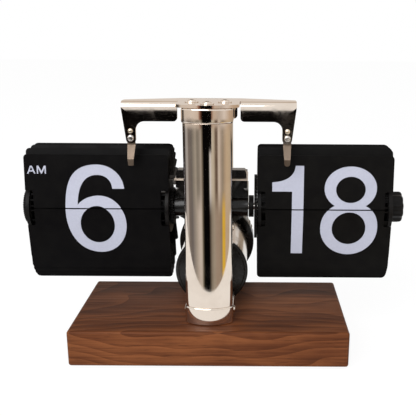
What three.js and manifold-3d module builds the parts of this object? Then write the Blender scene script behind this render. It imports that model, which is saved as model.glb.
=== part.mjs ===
// Flip clock: an hour drum and a minute drum of hinged leaves on a column, over a wooden base.
// Millimetres, +X right, +Y back, +Z up. The origin is the centre of the underside of the felt sheet.
import * as THREE from "three";
import { mergeVertices } from "three/addons/utils/BufferGeometryUtils.js";
import Module from "manifold-3d";

const wasm = await Module();
wasm.setup();

// Clearances
const gap = 0.3; // between pieces that are seated, cut or turned beside each other
const boreGap = 0.2; // round a shaft, a shank or a pin
const cutOver = 1; // how far a cutting solid runs past what it cuts

// Counts
const roundSteps = 28;
const smallSteps = 12;
const cornerSteps = 3;
const crownSteps = 8;
const edgeSteps = 2;
const filmSteps = 14;
const fluteSteps = 6;
const serrationSteps = 2;

// Base
const felt = { inset: 3, thickness: 1 };
const wood = { width: 145, depth: 71, height: 19.5, edge: 1.6 };
const woodTop = felt.thickness + wood.height;

// Column, which stands near the front of the base
const column = {
  halfWidth: 12.1,
  front: -27.7,
  back: -3,
  crown: 4.2,
  corner: 2,
  wall: 2.2,
};
const foot = { proud: 0.5, height: 9.6, edge: 0.8 };
const cap = { proud: 0.6, height: 7.5, edge: 1.2 };
const tubeBottom = woodTop + foot.height;

// Top plate
const plateThickness = 1.5;
const plate = {
  armEnd: 44.3,
  armFront: -10,
  armDepth: 10,
  centreHalf: 15.7,
  centreFront: -28.2,
  centreBack: 9,
  frontCorner: 4,
  bend: 3,
  flangeDrop: 10,
  flangeCorner: 2,
  legDrop: 21.2,
  legInner: 37.3,
  legOuter: 42.3,
  legFillet: 4.6,
  legCorner: 1,
  tabHalf: 14,
  tabDrop: 11,
};

// Fasteners: dome screws and rivets
const plateScrew = { head: 2.3, dome: 1, washer: 3.5, washerHeight: 0.5, shank: 1.4, length: 8 };
const sideScrew = { head: 1.8, dome: 1.1, washer: 0, washerHeight: 0, shank: 1.1, length: 4 };
const fingerScrew = { head: 1.7, dome: 0.9, washer: 0, washerHeight: 0, shank: 0.8, length: 3.2 };
const fingerRivet = { head: 1.3, dome: 0.6, washer: 0, washerHeight: 0, shank: 0.7, length: 2.6 };
const rearScrewSpread = 8.3;
const rearScrewBack = 16; // from the plate's front edge
const frontScrewBack = 7;
const sideScrewY = -17;
const columnScrewDrop = 6.4; // from the split line
const footScrewRise = 5; // from the wood

// Leaf springs that hold back the front leaves
const finger = {
  fromAxis: 39.9,
  topDrop: 12.6,
  kneeDrop: 22.4,
  touchDrop: 29,
  tipDrop: 32.3,
  thickness: 0.4,
  topWidth: 4.2,
  tipWidth: 2.8,
  screwDrop: 18.6,
  rivetDrop: 14.9,
};

// Drums: both turn on one line, a little below the split line between the front leaves
const plateRise = 57; // from the split line up to the top plate
const splitRise = 1.5; // from the drums' axis up to the split line
const frontPivot = { y: -5.62, fromSplit: 1.175 };
const leaf = {
  pivotRadius: 13,
  length: 27.6,
  tail: 0.95,
  thickness: 0.3,
  corner: 2,
  notchWidth: 4.2,
  notchHeight: 8.4,
  lugHalf: 0.4,
};
const halfTurn = 180; // degrees
const frontLeanAngle = 5; // degrees that the front leaf leans back
// How the other leaves lie: the turn of a leaf's pivot round the axis from the front over the top,
// and the turn of the leaf from upright to the back, both in degrees
const leafLieAngles = [
  [26, 13],
  [41, 28],
  [90, 57],
  [180, 112],
  [225, 178],
  [270, 184],
  [290, 180],
  [315, 176.5],
  [336.5, 175.5],
];
const hourLeafCount = 24;
const minuteLeafCount = 60;
const hourDrum = { inner: -22.1, width: 75.7, direction: -1 };
const minuteDrum = { inner: 25, width: 71.6, direction: 1 };
// The rims of a disc and its groove, and of the pack's rail, from the circle of the pivots
const disc = { outside: 1.4, thickness: 2, grooveDepth: 1, grooveInside: 1.3, grooveOutside: 0.8 };
const rail = { inside: 1, outside: 0.5 };
const sleeve = { radius: 7.5, wall: 1.5 };
const wheelGap = 3.3; // from an arm of the case to the minute wheel

// Gears, on shafts that run along X
const shaftRadius = 1.9;
const pinionShaftRadius = 1.1;
const arborRadius = 1.2;
const backlash = 0.26;
const toothAngle = 20; // degrees, of a tooth's flank
const addendumShare = 0.85; // of the module
const dedendumShare = 1.3;
const hourWheel = { teeth: 32, module: 0.6, thickness: 1.4 };
const arborPinion = { teeth: 8, module: 0.6, thickness: 1.4 };
const arborWheel = { teeth: 48, module: 0.4286, thickness: 1.6 };
const minutePinion = { teeth: 8, module: 0.4286, thickness: 2.2 };
const minuteWheel = { teeth: 52, module: 0.65, thickness: 1.4 };
const motorPinion = { teeth: 8, module: 0.65, thickness: 1.4 };
const motorBearingAngle = -15; // degrees above the level of the axis where the motor lies behind it
const arborWheelX = -6.2; // middle of the wheel inside the case

// Movement case, with its heights and depths from the drums' axis
const movement = {
  half: 11,
  armHalf: 20,
  mitreHalf: 17.4,
  midHalf: 19.4,
  bottom: -14.1,
  elbow: -9.5,
  armBottom: -4,
  armTop: 7.5,
  mitreTop: 10.5,
  top: 14.9,
  front: -2.1,
  back: 27.1,
  wall: 1.5,
  bossRadius: 5.8,
  coverThickness: 1.6,
  coverLip: 1.2,
};
const brightPlate = { half: 19.8, thickness: 0.9, front: -4.8, depth: 20 };
const topBlock = { half: 19, topHalf: 18.2, height: 4.5, front: -3.9, depth: 6.6 };
const motor = { radius: 6.6, left: -3.4, length: 11.2, snout: 2.6, snoutLength: 1.2, shaft: 0.9 };

// Knob and setting wheel at the drums' outer ends
const knob = { radius: 8.6, length: 7, flutes: 10, fluteDepth: 0.8, edge: 1.4 };
const settingWheel = { radius: 10.2, thickness: 2.4, teeth: 30, toothDepth: 0.7 };

// Battery holder
const battery = {
  rise: 1.2, // from the wood up to the tube
  front: -1,
  capRadius: 19.9,
  capThickness: 2,
  tubeRadius: 19.3,
  tubeBore: 17.6,
  tubeEnd: 54.2,
  ringRadius: 23.2,
  ringLength: 4,
  ringOverlap: 3,
  coverEnd: 66.5,
  coverWall: 1.9,
  coverEdge: 1.5,
  cellRadius: 17,
  cellLength: 61,
  terminalRadius: 4.5,
  terminalLength: 1.4,
};
const saddle = { half: 8, front: 5, back: 26, wrap: 5, rise: 1.6 }; // its rise is from the tube to the case
const spring = { wire: 0.35, coil: 3.2, turns: 2, steps: 8, sides: 5 };

// Numerals: thin films on the leaves, placed from the split line and from the middle of their drum
const film = { thickness: 0.1, seat: 0.02, splitHalf: 0.28 };
const hourMiddle = hourDrum.inner - hourDrum.width / 2;
const minuteMiddle = minuteDrum.inner + minuteDrum.width / 2;
const six = {
  offset: -1.05,
  bowlHalf: 15.9,
  bowlHeight: 15.3,
  bowlZ: -8.7,
  holeHalf: 8.9,
  holeHeight: 9.7,
  crownHalf: 15.8,
  crownHeight: 18.7,
  crownZ: 5.7,
  crownInnerHalf: 9,
  crownInnerHeight: 12.6,
  terminalZ: 10.7,
};
const one = {
  stemLeft: -17.6,
  stemRight: -11.5,
  flagLeft: -28.1,
  top: 23.4,
  bottom: -25,
  flagTop: 14.6,
  flagBottom: 9.7,
};
const eight = {
  topOffset: 13.3,
  topHalf: 13.8,
  topHeight: 11.7,
  topZ: 11.5,
  topHoleHalf: 7.8,
  topHoleHeight: 7,
  topHoleZ: 10.8,
  bottomOffset: 13.1,
  bottomHalf: 15.3,
  bottomHeight: 15,
  bottomZ: -10.4,
  bottomHoleHalf: 9,
  bottomHoleHeight: 9.1,
  bottomHoleZ: -10.3,
};
const letters = {
  inset: 1.6, // from the leaf's left side
  bottom: 18.5,
  height: 4.2,
  aWidth: 4.5,
  mWidth: 5.2,
  space: 0.5,
  stroke: 1,
  mShoulder: 1.6, // from the top down to the inner corners of the M
  mValley: 2.4, // from the bottom up to the middle of the M
};

// Heights, from the base up
const batteryZ = woodTop + battery.rise + battery.tubeRadius;
const axisZ = batteryZ + battery.tubeRadius + saddle.rise - movement.bottom;
const splitZ = axisZ + splitRise;
const plateTop = splitZ + plateRise;
const plateUnder = plateTop - plateThickness;
const capBottom = plateUnder - cap.height;
const columnScrewHeight = splitZ - columnScrewDrop;
const footScrewHeight = woodTop + footScrewRise;

// The axis lies behind the front leaf's pivot, on the circle of the pivots.
const upperPivotRise = splitRise + frontPivot.fromSplit;
const lowerPivotRise = splitRise - frontPivot.fromSplit;
const axisY = frontPivot.y + Math.sqrt(leaf.pivotRadius ** 2 - upperPivotRise ** 2);

// Solids

function degrees(angle) {
  return (angle * Math.PI) / halfTurn;
}

function inDegrees(turn) {
  return (turn * halfTurn) / Math.PI;
}

// A closed solid from a geometry, with its faces out whichever way its outline ran.
function solidOf(geometry) {
  const bare = geometry.clone();
  bare.deleteAttribute("normal");
  bare.deleteAttribute("uv");
  const merged = mergeVertices(bare);
  const corners = merged.index.array;
  const point = merged.attributes.position;
  const kept = [];
  const a = new THREE.Vector3();
  const b = new THREE.Vector3();
  const c = new THREE.Vector3();
  let sixVolumes = 0;
  for (let i = 0; i < corners.length; i += 3) {
    const [i0, i1, i2] = [corners[i], corners[i + 1], corners[i + 2]];
    if (i0 === i1 || i1 === i2 || i2 === i0) continue;
    kept.push(i0, i1, i2);
    a.fromBufferAttribute(point, i0);
    b.fromBufferAttribute(point, i1);
    c.fromBufferAttribute(point, i2);
    sixVolumes += a.dot(b.cross(c));
  }
  if (sixVolumes < 0) kept.reverse();
  const mesh = new wasm.Mesh({
    numProp: 3,
    vertProperties: new Float32Array(point.array),
    triVerts: new Uint32Array(kept),
  });
  return new wasm.Manifold(mesh);
}

function geometryOf(solid) {
  const mesh = solid.getMesh();
  const geometry = new THREE.BufferGeometry();
  geometry.setAttribute("position", new THREE.BufferAttribute(mesh.vertProperties, 3));
  geometry.setIndex(new THREE.BufferAttribute(mesh.triVerts, 1));
  const flat = geometry.toNonIndexed();
  flat.computeVertexNormals();
  return flat;
}

function join(first, ...others) {
  return others.reduce((whole, other) => whole.add(other), first);
}

function cut(first, ...others) {
  return others.reduce((whole, other) => whole.subtract(other), first);
}

// Turns what was drawn in X and Y and extruded along Z so that it is drawn in Y and Z and runs along X.
function layAlongX(geometry) {
  const turned = new THREE.Matrix4().makeBasis(
    new THREE.Vector3(0, 1, 0),
    new THREE.Vector3(0, 0, 1),
    new THREE.Vector3(1, 0, 0),
  );
  return geometry.applyMatrix4(turned);
}

// The same for what is drawn in X and Z and runs from front to back.
function layAlongY(geometry, depth) {
  return geometry.rotateX(Math.PI / 2).translate(0, depth, 0);
}

function extrusion(shape, depth, curveSegments = smallSteps) {
  return new THREE.ExtrudeGeometry(shape, { depth, bevelEnabled: false, curveSegments });
}

function edgedExtrusion(shape, depth, edge, curveSegments = smallSteps) {
  const geometry = new THREE.ExtrudeGeometry(shape, {
    depth: depth - 2 * edge,
    bevelThickness: edge,
    bevelSize: edge,
    bevelOffset: -edge,
    bevelSegments: edgeSteps,
    curveSegments,
  });
  return geometry.translate(0, 0, edge);
}

// A prism along X: its outline is in Y and Z.
function prismX(shape, x0, x1, curveSegments) {
  return solidOf(layAlongX(extrusion(shape, x1 - x0, curveSegments)).translate(x0, 0, 0));
}

// A prism along Y: its outline is in X and Z.
function prismY(shape, y0, y1, curveSegments) {
  return solidOf(layAlongY(extrusion(shape, y1 - y0, curveSegments), y1 - y0).translate(0, y0, 0));
}

// A prism along Z: its outline is in X and Y.
function prismZ(shape, z0, z1, curveSegments) {
  return solidOf(extrusion(shape, z1 - z0, curveSegments).translate(0, 0, z0));
}

function block(x0, x1, y0, y1, z0, z1) {
  const geometry = new THREE.BoxGeometry(x1 - x0, y1 - y0, z1 - z0);
  return solidOf(geometry.translate((x0 + x1) / 2, (y0 + y1) / 2, (z0 + z1) / 2));
}

// A turned solid round the X axis: its profile lists [radius, x].
function turnedX(profile, steps = roundSteps) {
  const points = profile.map(([radius, x]) => new THREE.Vector2(radius, x));
  return solidOf(new THREE.LatheGeometry(points, steps).rotateZ(-Math.PI / 2));
}

// The same round the Y axis: its profile lists [radius, y].
function turnedY(profile, steps = roundSteps) {
  const points = profile.map(([radius, y]) => new THREE.Vector2(radius, y));
  return solidOf(new THREE.LatheGeometry(points, steps));
}

function rodX(radius, x0, x1, steps = smallSteps) {
  return turnedX([[0, x0], [radius, x0], [radius, x1], [0, x1]], steps);
}

function polygon(points) {
  return new THREE.Shape(points.map(([x, y]) => new THREE.Vector2(x, y)));
}

function ellipse(x, y, halfWidth, halfHeight) {
  const shape = new THREE.Shape();
  shape.absellipse(x, y, halfWidth, halfHeight, 0, 2 * Math.PI);
  return shape;
}

// Pieces

function addPiece(group, name, solid, colour, roughness, metalness) {
  const finish = new THREE.MeshStandardMaterial({ color: colour, roughness, metalness });
  const mesh = new THREE.Mesh(geometryOf(solid), finish);
  mesh.name = name;
  group.add(mesh);
  return mesh;
}

const chrome = ["#c9c6c0", 0.12, 1];
const satinBlack = ["#161414", 0.45, 0];
const glossBlack = ["#121212", 0.2, 0];
const steel = ["#a8a6a2", 0.3, 1];
const brass = ["#b08d4a", 0.35, 1];
const print = ["#c9cbdc", 0.6, 0];

// Base

function roundedRectangle(halfWidth, halfDepth, corner) {
  const shape = new THREE.Shape();
  shape.absarc(halfWidth - corner, halfDepth - corner, corner, 0, Math.PI / 2);
  shape.absarc(corner - halfWidth, halfDepth - corner, corner, Math.PI / 2, Math.PI);
  shape.absarc(corner - halfWidth, corner - halfDepth, corner, Math.PI, 1.5 * Math.PI);
  shape.absarc(halfWidth - corner, corner - halfDepth, corner, 1.5 * Math.PI, 2 * Math.PI);
  return shape;
}

function woodBlock() {
  const outline = roundedRectangle(wood.width / 2, wood.depth / 2, wood.edge + wood.edge / 4);
  const geometry = edgedExtrusion(outline, wood.height, wood.edge, cornerSteps);
  return solidOf(geometry.translate(0, 0, felt.thickness));
}

function feltSheet() {
  const halfWidth = wood.width / 2 - felt.inset;
  const halfDepth = wood.depth / 2 - felt.inset;
  return prismZ(roundedRectangle(halfWidth, halfDepth, felt.inset), 0, felt.thickness, cornerSteps);
}

// Column: one section for the tube and, a little proud of it, for the foot and the cap

// Points of an arc about a centre, from one angle to another, in parts of a half turn.
function arcPoints(x, y, radius, from, to, steps) {
  const points = [];
  for (let step = 0; step <= steps; step += 1) {
    const angle = (from + (step / steps) * (to - from)) * Math.PI;
    points.push([x + radius * Math.cos(angle), y + radius * Math.sin(angle)]);
  }
  return points;
}

function columnSection(grow, corner = column.corner) {
  const half = column.halfWidth + grow;
  const back = column.back + grow;
  const front = column.front - grow;
  const shoulder = front + column.crown;
  const points = [
    ...arcPoints(half - corner, back - corner, corner, 0, 0.5, cornerSteps),
    ...arcPoints(corner - half, back - corner, corner, 0.5, 1, cornerSteps),
    ...arcPoints(corner - half, shoulder + corner, corner, 1, 1.35, cornerSteps),
  ];
  const crownRadius = ((half - corner) ** 2 + column.crown ** 2) / (2 * column.crown);
  const crownShare = Math.asin((half - corner) / crownRadius) / Math.PI;
  const crownEnds = [1.5 - crownShare, 1.5 + crownShare];
  points.push(...arcPoints(0, front + crownRadius, crownRadius, ...crownEnds, crownSteps));
  points.push(...arcPoints(half - corner, shoulder + corner, corner, 1.65, 2, cornerSteps));
  return polygon(points);
}

function sideHole(side, height) {
  const reach = column.halfWidth + foot.proud + cutOver;
  const hole = rodX(sideScrew.shank + boreGap, 0, reach - column.halfWidth / 2);
  const start = side > 0 ? column.halfWidth / 2 : -reach;
  return hole.translate([start, sideScrewY, height]);
}

function plateScrewPlaces() {
  const back = plate.centreFront + rearScrewBack;
  return [
    ["left", -rearScrewSpread, back],
    ["right", rearScrewSpread, back],
    ["front", 0, plate.centreFront + frontScrewBack],
  ];
}

function plateScrewHoles() {
  const reach = plateScrew.length + plateThickness;
  return plateScrewPlaces().map(([, x, y]) => {
    const hole = turnedY([
      [0, -reach],
      [plateScrew.shank + boreGap, -reach],
      [plateScrew.shank + boreGap, cutOver],
      [0, cutOver],
    ], smallSteps);
    return hole.rotate([90, 0, 0]).translate([x, y, plateTop]);
  });
}

function columnFoot() {
  const geometry = edgedExtrusion(columnSection(foot.proud), foot.height, foot.edge);
  const body = solidOf(geometry.translate(0, 0, woodTop));
  return cut(body, sideHole(-1, footScrewHeight), sideHole(1, footScrewHeight));
}

function columnTube() {
  const section = columnSection(0);
  section.holes.push(columnSection(-column.wall, column.corner / 2));
  const body = prismZ(section, tubeBottom, capBottom);
  return cut(body, sideHole(-1, columnScrewHeight), sideHole(1, columnScrewHeight));
}

function columnCap() {
  const geometry = edgedExtrusion(columnSection(cap.proud), cap.height, cap.edge);
  const body = solidOf(geometry.translate(0, 0, capBottom));
  return cut(body, ...plateScrewHoles());
}

// Fasteners: turned round Y with the head towards +Y, then laid where they go

function domeScrew(size) {
  const seat = size.washerHeight;
  const rim = size.head;
  const profile = [[0, -size.length], [size.shank, -size.length], [size.shank, 0]];
  if (size.washer > 0) profile.push([size.washer, 0], [size.washer, seat]);
  profile.push([rim, seat]);
  for (let step = 1; step < cornerSteps; step += 1) {
    const angle = (step / cornerSteps) * (Math.PI / 2);
    profile.push([rim * Math.cos(angle), seat + size.dome * Math.sin(angle)]);
  }
  profile.push([0, seat + size.dome]);
  return turnedY(profile, smallSteps);
}

function addPlateScrews(group) {
  for (const [name, x, y] of plateScrewPlaces()) {
    const screw = domeScrew(plateScrew).rotate([90, 0, 0]).translate([x, y, plateTop]);
    addPiece(group, `plate_screw_${name}`, screw, ...chrome);
  }
}

function addSideScrews(group) {
  for (const [name, side] of [["left", -1], ["right", 1]]) {
    const turned = domeScrew(sideScrew).rotate([0, 0, -90 * side]);
    const footFace = side * (column.halfWidth + foot.proud);
    const tubeFace = side * column.halfWidth;
    const inFoot = turned.translate([footFace, sideScrewY, footScrewHeight]);
    const inTube = turned.translate([tubeFace, sideScrewY, columnScrewHeight]);
    addPiece(group, `foot_screw_${name}`, inFoot, ...chrome);
    addPiece(group, `column_screw_${name}`, inTube, ...chrome);
  }
}

// Top plate: a flat sheet, two flanges bent down in front with a leg each, and a tab bent down behind

function flatOutline() {
  const edge = plate.armFront + plate.bend;
  const inner = plate.centreHalf;
  const corner = plate.frontCorner;
  const shoulder = plate.centreFront + column.crown;
  const shape = new THREE.Shape();
  shape.moveTo(plate.tabHalf, plate.centreBack);
  shape.lineTo(-plate.tabHalf, plate.centreBack);
  shape.lineTo(-inner, plate.centreBack);
  shape.lineTo(-plate.armEnd, plate.armFront + plate.armDepth);
  shape.lineTo(-plate.armEnd, edge);
  shape.lineTo(-inner, edge);
  shape.lineTo(-inner, shoulder + corner);
  shape.quadraticCurveTo(-inner, shoulder, corner - inner, shoulder - corner / 8);
  shape.quadraticCurveTo(0, plate.centreFront - column.crown / 2, inner - corner, shoulder - corner / 8);
  shape.quadraticCurveTo(inner, shoulder, inner, shoulder + corner);
  shape.lineTo(inner, edge);
  shape.lineTo(plate.armEnd, edge);
  shape.lineTo(plate.armEnd, plate.armFront + plate.armDepth);
  shape.lineTo(inner, plate.centreBack);
  return shape;
}

// Section in Y and Z of a sheet bent down at one edge, from the flat to the drop.
function bendSection(edgeY, outward, drop) {
  const outer = plate.bend;
  const inner = plate.bend - plateThickness;
  const centreY = edgeY - outward * outer;
  const centreZ = plateTop - outer;
  const arc = (radius, step) => {
    const angle = (step / cornerSteps) * (Math.PI / 2);
    return [centreY + outward * radius * Math.sin(angle), centreZ + radius * Math.cos(angle)];
  };
  const points = [];
  for (let step = 0; step <= cornerSteps; step += 1) points.push(arc(outer, step));
  points.push([edgeY, plateTop - drop], [edgeY - outward * plateThickness, plateTop - drop]);
  for (let step = cornerSteps; step >= 0; step -= 1) points.push(arc(inner, step));
  return polygon(points);
}

function flangeOutline() {
  const inner = plate.centreHalf;
  const bottom = plateTop - plate.flangeDrop;
  const legEnd = plateTop - plate.legDrop;
  const corner = plate.flangeCorner;
  const tip = plate.legCorner;
  const fillet = plate.legFillet;
  const shape = new THREE.Shape();
  shape.moveTo(plate.armEnd, plateTop + cutOver);
  shape.lineTo(inner, plateTop + cutOver);
  shape.lineTo(inner, bottom + corner);
  shape.quadraticCurveTo(inner, bottom, inner + corner, bottom);
  shape.lineTo(plate.legInner - fillet, bottom);
  shape.quadraticCurveTo(plate.legInner, bottom, plate.legInner, bottom - fillet);
  shape.lineTo(plate.legInner, legEnd + tip);
  shape.quadraticCurveTo(plate.legInner, legEnd, plate.legInner + tip, legEnd);
  shape.lineTo(plate.legOuter - tip, legEnd);
  shape.quadraticCurveTo(plate.legOuter, legEnd, plate.legOuter, legEnd + tip);
  return shape;
}

function fingerHoles(side) {
  const deep = plate.armFront - cutOver;
  return [[fingerScrew, finger.screwDrop], [fingerRivet, finger.rivetDrop]].map(([size, drop]) => {
    const bore = size.shank + boreGap;
    const reach = 2 * cutOver + plateThickness + finger.thickness + gap;
    const hole = turnedY([[0, 0], [bore, 0], [bore, reach], [0, reach]], smallSteps);
    return hole.translate([side * finger.fromAxis, deep, plateTop - drop]);
  });
}

function topPlate() {
  const sheet = prismZ(flatOutline(), plateUnder, plateTop, cornerSteps);
  const bent = prismX(bendSection(plate.armFront, -1, plate.legDrop), plate.centreHalf, plate.armEnd);
  const shaped = prismY(flangeOutline(), plate.armFront - cutOver, plate.armFront + plate.bend, cornerSteps);
  const rightFlange = bent.intersect(shaped);
  const leftFlange = rightFlange.mirror([1, 0, 0]);
  const tab = prismX(
    bendSection(plate.centreBack + plate.bend, 1, plate.tabDrop),
    -plate.tabHalf,
    plate.tabHalf,
  );
  const whole = join(sheet, rightFlange, leftFlange, tab);
  return cut(whole, ...plateScrewHoles(), ...fingerHoles(-1), ...fingerHoles(1));
}

// Leaf springs: a flat strip behind each leg that bends back to the front leaf

function leafFrontY(z) {
  const lean = degrees(frontLeanAngle);
  const pivot = leafPivot(upperAngle);
  const along = (z - pivot.z) * Math.tan(lean);
  return pivot.y + along - leaf.thickness / 2 / Math.cos(lean);
}

function fingerStrip(side) {
  const backOfLeg = plate.armFront + plateThickness;
  const touch = plateTop - finger.touchDrop;
  const tip = plateTop - finger.tipDrop;
  const touchY = leafFrontY(touch) - gap - finger.thickness;
  const path = [
    [backOfLeg, plateTop - finger.topDrop],
    [backOfLeg, plateTop - finger.kneeDrop],
    [touchY, touch],
    [touchY - gap, tip],
  ];
  const behind = path.map(([y, z]) => [y + finger.thickness, z]).reverse();
  const strip = prismX(polygon([...path, ...behind]), -finger.topWidth, finger.topWidth);
  const top = plateTop - finger.topDrop + cutOver;
  const halfTop = finger.topWidth / 2;
  const halfTip = finger.tipWidth / 2;
  const outline = new THREE.Shape();
  outline.moveTo(halfTop, top);
  outline.lineTo(-halfTop, top);
  outline.lineTo(-halfTop, plateTop - finger.kneeDrop);
  outline.lineTo(-halfTip, tip + halfTip);
  outline.quadraticCurveTo(-halfTip, tip, 0, tip);
  outline.quadraticCurveTo(halfTip, tip, halfTip, tip + halfTip);
  outline.lineTo(halfTop, plateTop - finger.kneeDrop);
  const shaped = strip.intersect(prismY(outline, plate.armFront, axisY, cornerSteps));
  return cut(shaped.translate([side * finger.fromAxis, 0, 0]), ...fingerHoles(side));
}

function addFingers(group) {
  for (const [name, side] of [["left", -1], ["right", 1]]) {
    const x = side * finger.fromAxis;
    const screw = domeScrew(fingerScrew).rotate([180, 0, 0]);
    const rivet = domeScrew(fingerRivet).rotate([180, 0, 0]);
    const screwPlace = [x, plate.armFront, plateTop - finger.screwDrop];
    const rivetPlace = [x, plate.armFront, plateTop - finger.rivetDrop];
    addPiece(group, `finger_${name}`, fingerStrip(side), ...steel);
    addPiece(group, `finger_screw_${name}`, screw.translate(screwPlace), ...steel);
    addPiece(group, `finger_rivet_${name}`, rivet.translate(rivetPlace), ...brass);
  }
}

// Leaves, placed from the drums' axis.
// A pivot's turn of 0 is the level of the axis in front, and 90 is above it.

const upperAngle = inDegrees(Math.asin(upperPivotRise / leaf.pivotRadius));
const lowerAngle = inDegrees(Math.asin(lowerPivotRise / leaf.pivotRadius));

function leafPivot(angle) {
  const turn = degrees(angle);
  return {
    y: axisY - leaf.pivotRadius * Math.cos(turn),
    z: axisZ + leaf.pivotRadius * Math.sin(turn),
  };
}

// A leaf's outline: u runs outwards from its inner side, v from its pivot to its free edge.
function leafOutline(drum) {
  const width = drum.width;
  const notch = leaf.notchWidth;
  const lugEnd = disc.thickness - disc.grooveDepth + 2 * gap;
  const lug = leaf.lugHalf;
  const corner = leaf.corner;
  const shape = new THREE.Shape();
  shape.moveTo(notch, -leaf.tail);
  shape.lineTo(width - notch, -leaf.tail);
  shape.lineTo(width - notch, -lug);
  shape.lineTo(width - lugEnd, -lug);
  shape.lineTo(width - lugEnd, lug);
  shape.lineTo(width - notch, lug);
  shape.lineTo(width - notch, leaf.notchHeight);
  shape.lineTo(width, leaf.notchHeight);
  shape.absarc(width - corner, leaf.length - corner, corner, 0, Math.PI / 2);
  shape.absarc(corner, leaf.length - corner, corner, Math.PI / 2, Math.PI);
  shape.lineTo(0, leaf.notchHeight);
  shape.lineTo(notch, leaf.notchHeight);
  shape.lineTo(notch, lug);
  shape.lineTo(lugEnd, lug);
  shape.lineTo(lugEnd, -lug);
  shape.lineTo(notch, -lug);
  return shape;
}

// A leaf of the pack reaches the rail in the inner disc's groove, and stops short of the outer disc.
function packLeafOutline(drum) {
  const notch = leaf.notchWidth;
  const lugEnd = disc.thickness - disc.grooveDepth + 2 * gap;
  const lug = leaf.lugHalf;
  const fromInner = [
    [lugEnd, -lug],
    [drum.width - notch, -lug],
    [drum.width - notch, leaf.notchHeight],
    [drum.width, leaf.notchHeight],
    [drum.width, leaf.length],
    [0, leaf.length],
    [0, leaf.notchHeight],
    [notch, leaf.notchHeight],
    [notch, lug],
    [lugEnd, lug],
  ];
  return polygon(drum.direction > 0 ? fromInner : fromInner.map(([u, v]) => [drum.width - u, v]));
}

// The left end of a drum's span along X.
function spanLeft(drum) {
  return drum.direction > 0 ? drum.inner : drum.inner - drum.width;
}

function leafPlate(drum, outline) {
  const geometry = extrusion(outline(drum), leaf.thickness, cornerSteps);
  return solidOf(geometry.translate(spanLeft(drum), 0, -leaf.thickness / 2));
}

function leafAt(plateSolid, angle, lean) {
  const pivot = leafPivot(angle);
  return plateSolid.rotate([90 - lean, 0, 0]).translate([0, pivot.y, pivot.z]);
}

// The lean of a leaf of the pack from the turn of its pivot.
function packLean(angle) {
  const next = Math.max(1, leafLieAngles.findIndex(([turn]) => turn >= angle));
  const [turnBefore, leanBefore] = leafLieAngles[next - 1];
  const [turnAfter, leanAfter] = leafLieAngles[next];
  const share = (angle - turnBefore) / (turnAfter - turnBefore);
  return leanBefore + share * (leanAfter - leanBefore);
}

// The leaves between the front pair, joined by a rail in the groove of the inner disc.
function leafPack(drum, count) {
  const first = leafLieAngles[0][0];
  const last = leafLieAngles[leafLieAngles.length - 1][0];
  const plateSolid = leafPlate(drum, packLeafOutline);
  const solids = [];
  for (let i = 0; i < count; i += 1) {
    const angle = first + (i * (last - first)) / (count - 1);
    solids.push(leafAt(plateSolid, angle, packLean(Math.min(angle, last))));
  }
  const lugEnd = disc.thickness - disc.grooveDepth + 2 * gap;
  const railWidth = disc.grooveDepth - 2 * gap;
  const railStart = drum.direction > 0 ? drum.inner + lugEnd : drum.inner - lugEnd - railWidth;
  const arc = prismX(railShape(first, last), railStart, railStart + railWidth, roundSteps);
  solids.push(arc.translate([0, axisY, axisZ]));
  return wasm.Manifold.union(solids);
}

// An arc of the groove, open in front where the front pair turns. It is drawn in Y and Z from the axis.
function railShape(first, last) {
  const start = Math.PI - degrees(first);
  const end = Math.PI - degrees(last);
  const shape = new THREE.Shape();
  shape.absarc(0, 0, leaf.pivotRadius + rail.outside, start, end, true);
  shape.absarc(0, 0, leaf.pivotRadius - rail.inside, end, start, false);
  return shape;
}

function addLeaf(group, name, drum, angle, lean) {
  const pivot = leafPivot(angle);
  const mesh = addPiece(group, name, leafPlate(drum, leafOutline), ...satinBlack);
  mesh.position.set(0, pivot.y, pivot.z);
  mesh.rotation.x = degrees(90 - lean);
}

function addLeaves(group, name, drum, count) {
  addLeaf(group, `${name}_leaf_falling`, drum, upperAngle, frontLeanAngle);
  addLeaf(group, `${name}_leaf_lower`, drum, lowerAngle, halfTurn - frontLeanAngle);
  addPiece(group, `${name}_leaf_pack`, leafPack(drum, count - 2), ...satinBlack);
}

// Numerals, drawn in X and Z from the split line

function filmPrism(shape) {
  const back = -leaf.thickness / 2 - film.seat;
  return prismY(shape, back - film.thickness, back, filmSteps);
}

function numeralSix() {
  const x = hourMiddle + six.offset;
  const bowl = filmPrism(ellipse(x, six.bowlZ, six.bowlHalf, six.bowlHeight));
  const hole = filmPrism(ellipse(x, six.bowlZ, six.holeHalf, six.holeHeight));
  const crown = filmPrism(ellipse(x, six.crownZ, six.crownHalf, six.crownHeight));
  const crownHole = filmPrism(ellipse(x, six.crownZ, six.crownInnerHalf, six.crownInnerHeight));
  const left = x - six.crownHalf - cutOver;
  const right = x + six.crownHalf + cutOver;
  const front = -leaf.thickness;
  const over = cutOver + six.crownHeight;
  const terminal = block(x, right, front, 0, six.crownZ - over, six.terminalZ);
  const foot = block(left, right, front, 0, six.crownZ - over, six.bowlZ);
  const stem = filmPrism(polygon([
    [x - six.crownHalf, six.bowlZ],
    [x - six.crownInnerHalf, six.bowlZ],
    [x - six.crownInnerHalf, six.crownZ],
    [x - six.crownHalf, six.crownZ],
  ]));
  const arch = cut(crown, crownHole, terminal, foot);
  return cut(join(bowl, arch, stem), hole);
}

function numeralOne() {
  const shape = new THREE.Shape();
  shape.moveTo(one.stemRight, one.bottom);
  shape.lineTo(one.stemRight, one.top);
  const shoulder = (one.stemLeft + one.stemRight) / 2;
  shape.lineTo(shoulder, one.top);
  shape.quadraticCurveTo(one.stemLeft, one.flagTop, one.flagLeft, one.flagTop);
  shape.lineTo(one.flagLeft, one.flagBottom);
  shape.lineTo(one.stemLeft, one.flagBottom);
  shape.lineTo(one.stemLeft, one.bottom);
  return filmPrism(shape).translate([minuteMiddle, 0, 0]);
}

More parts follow.
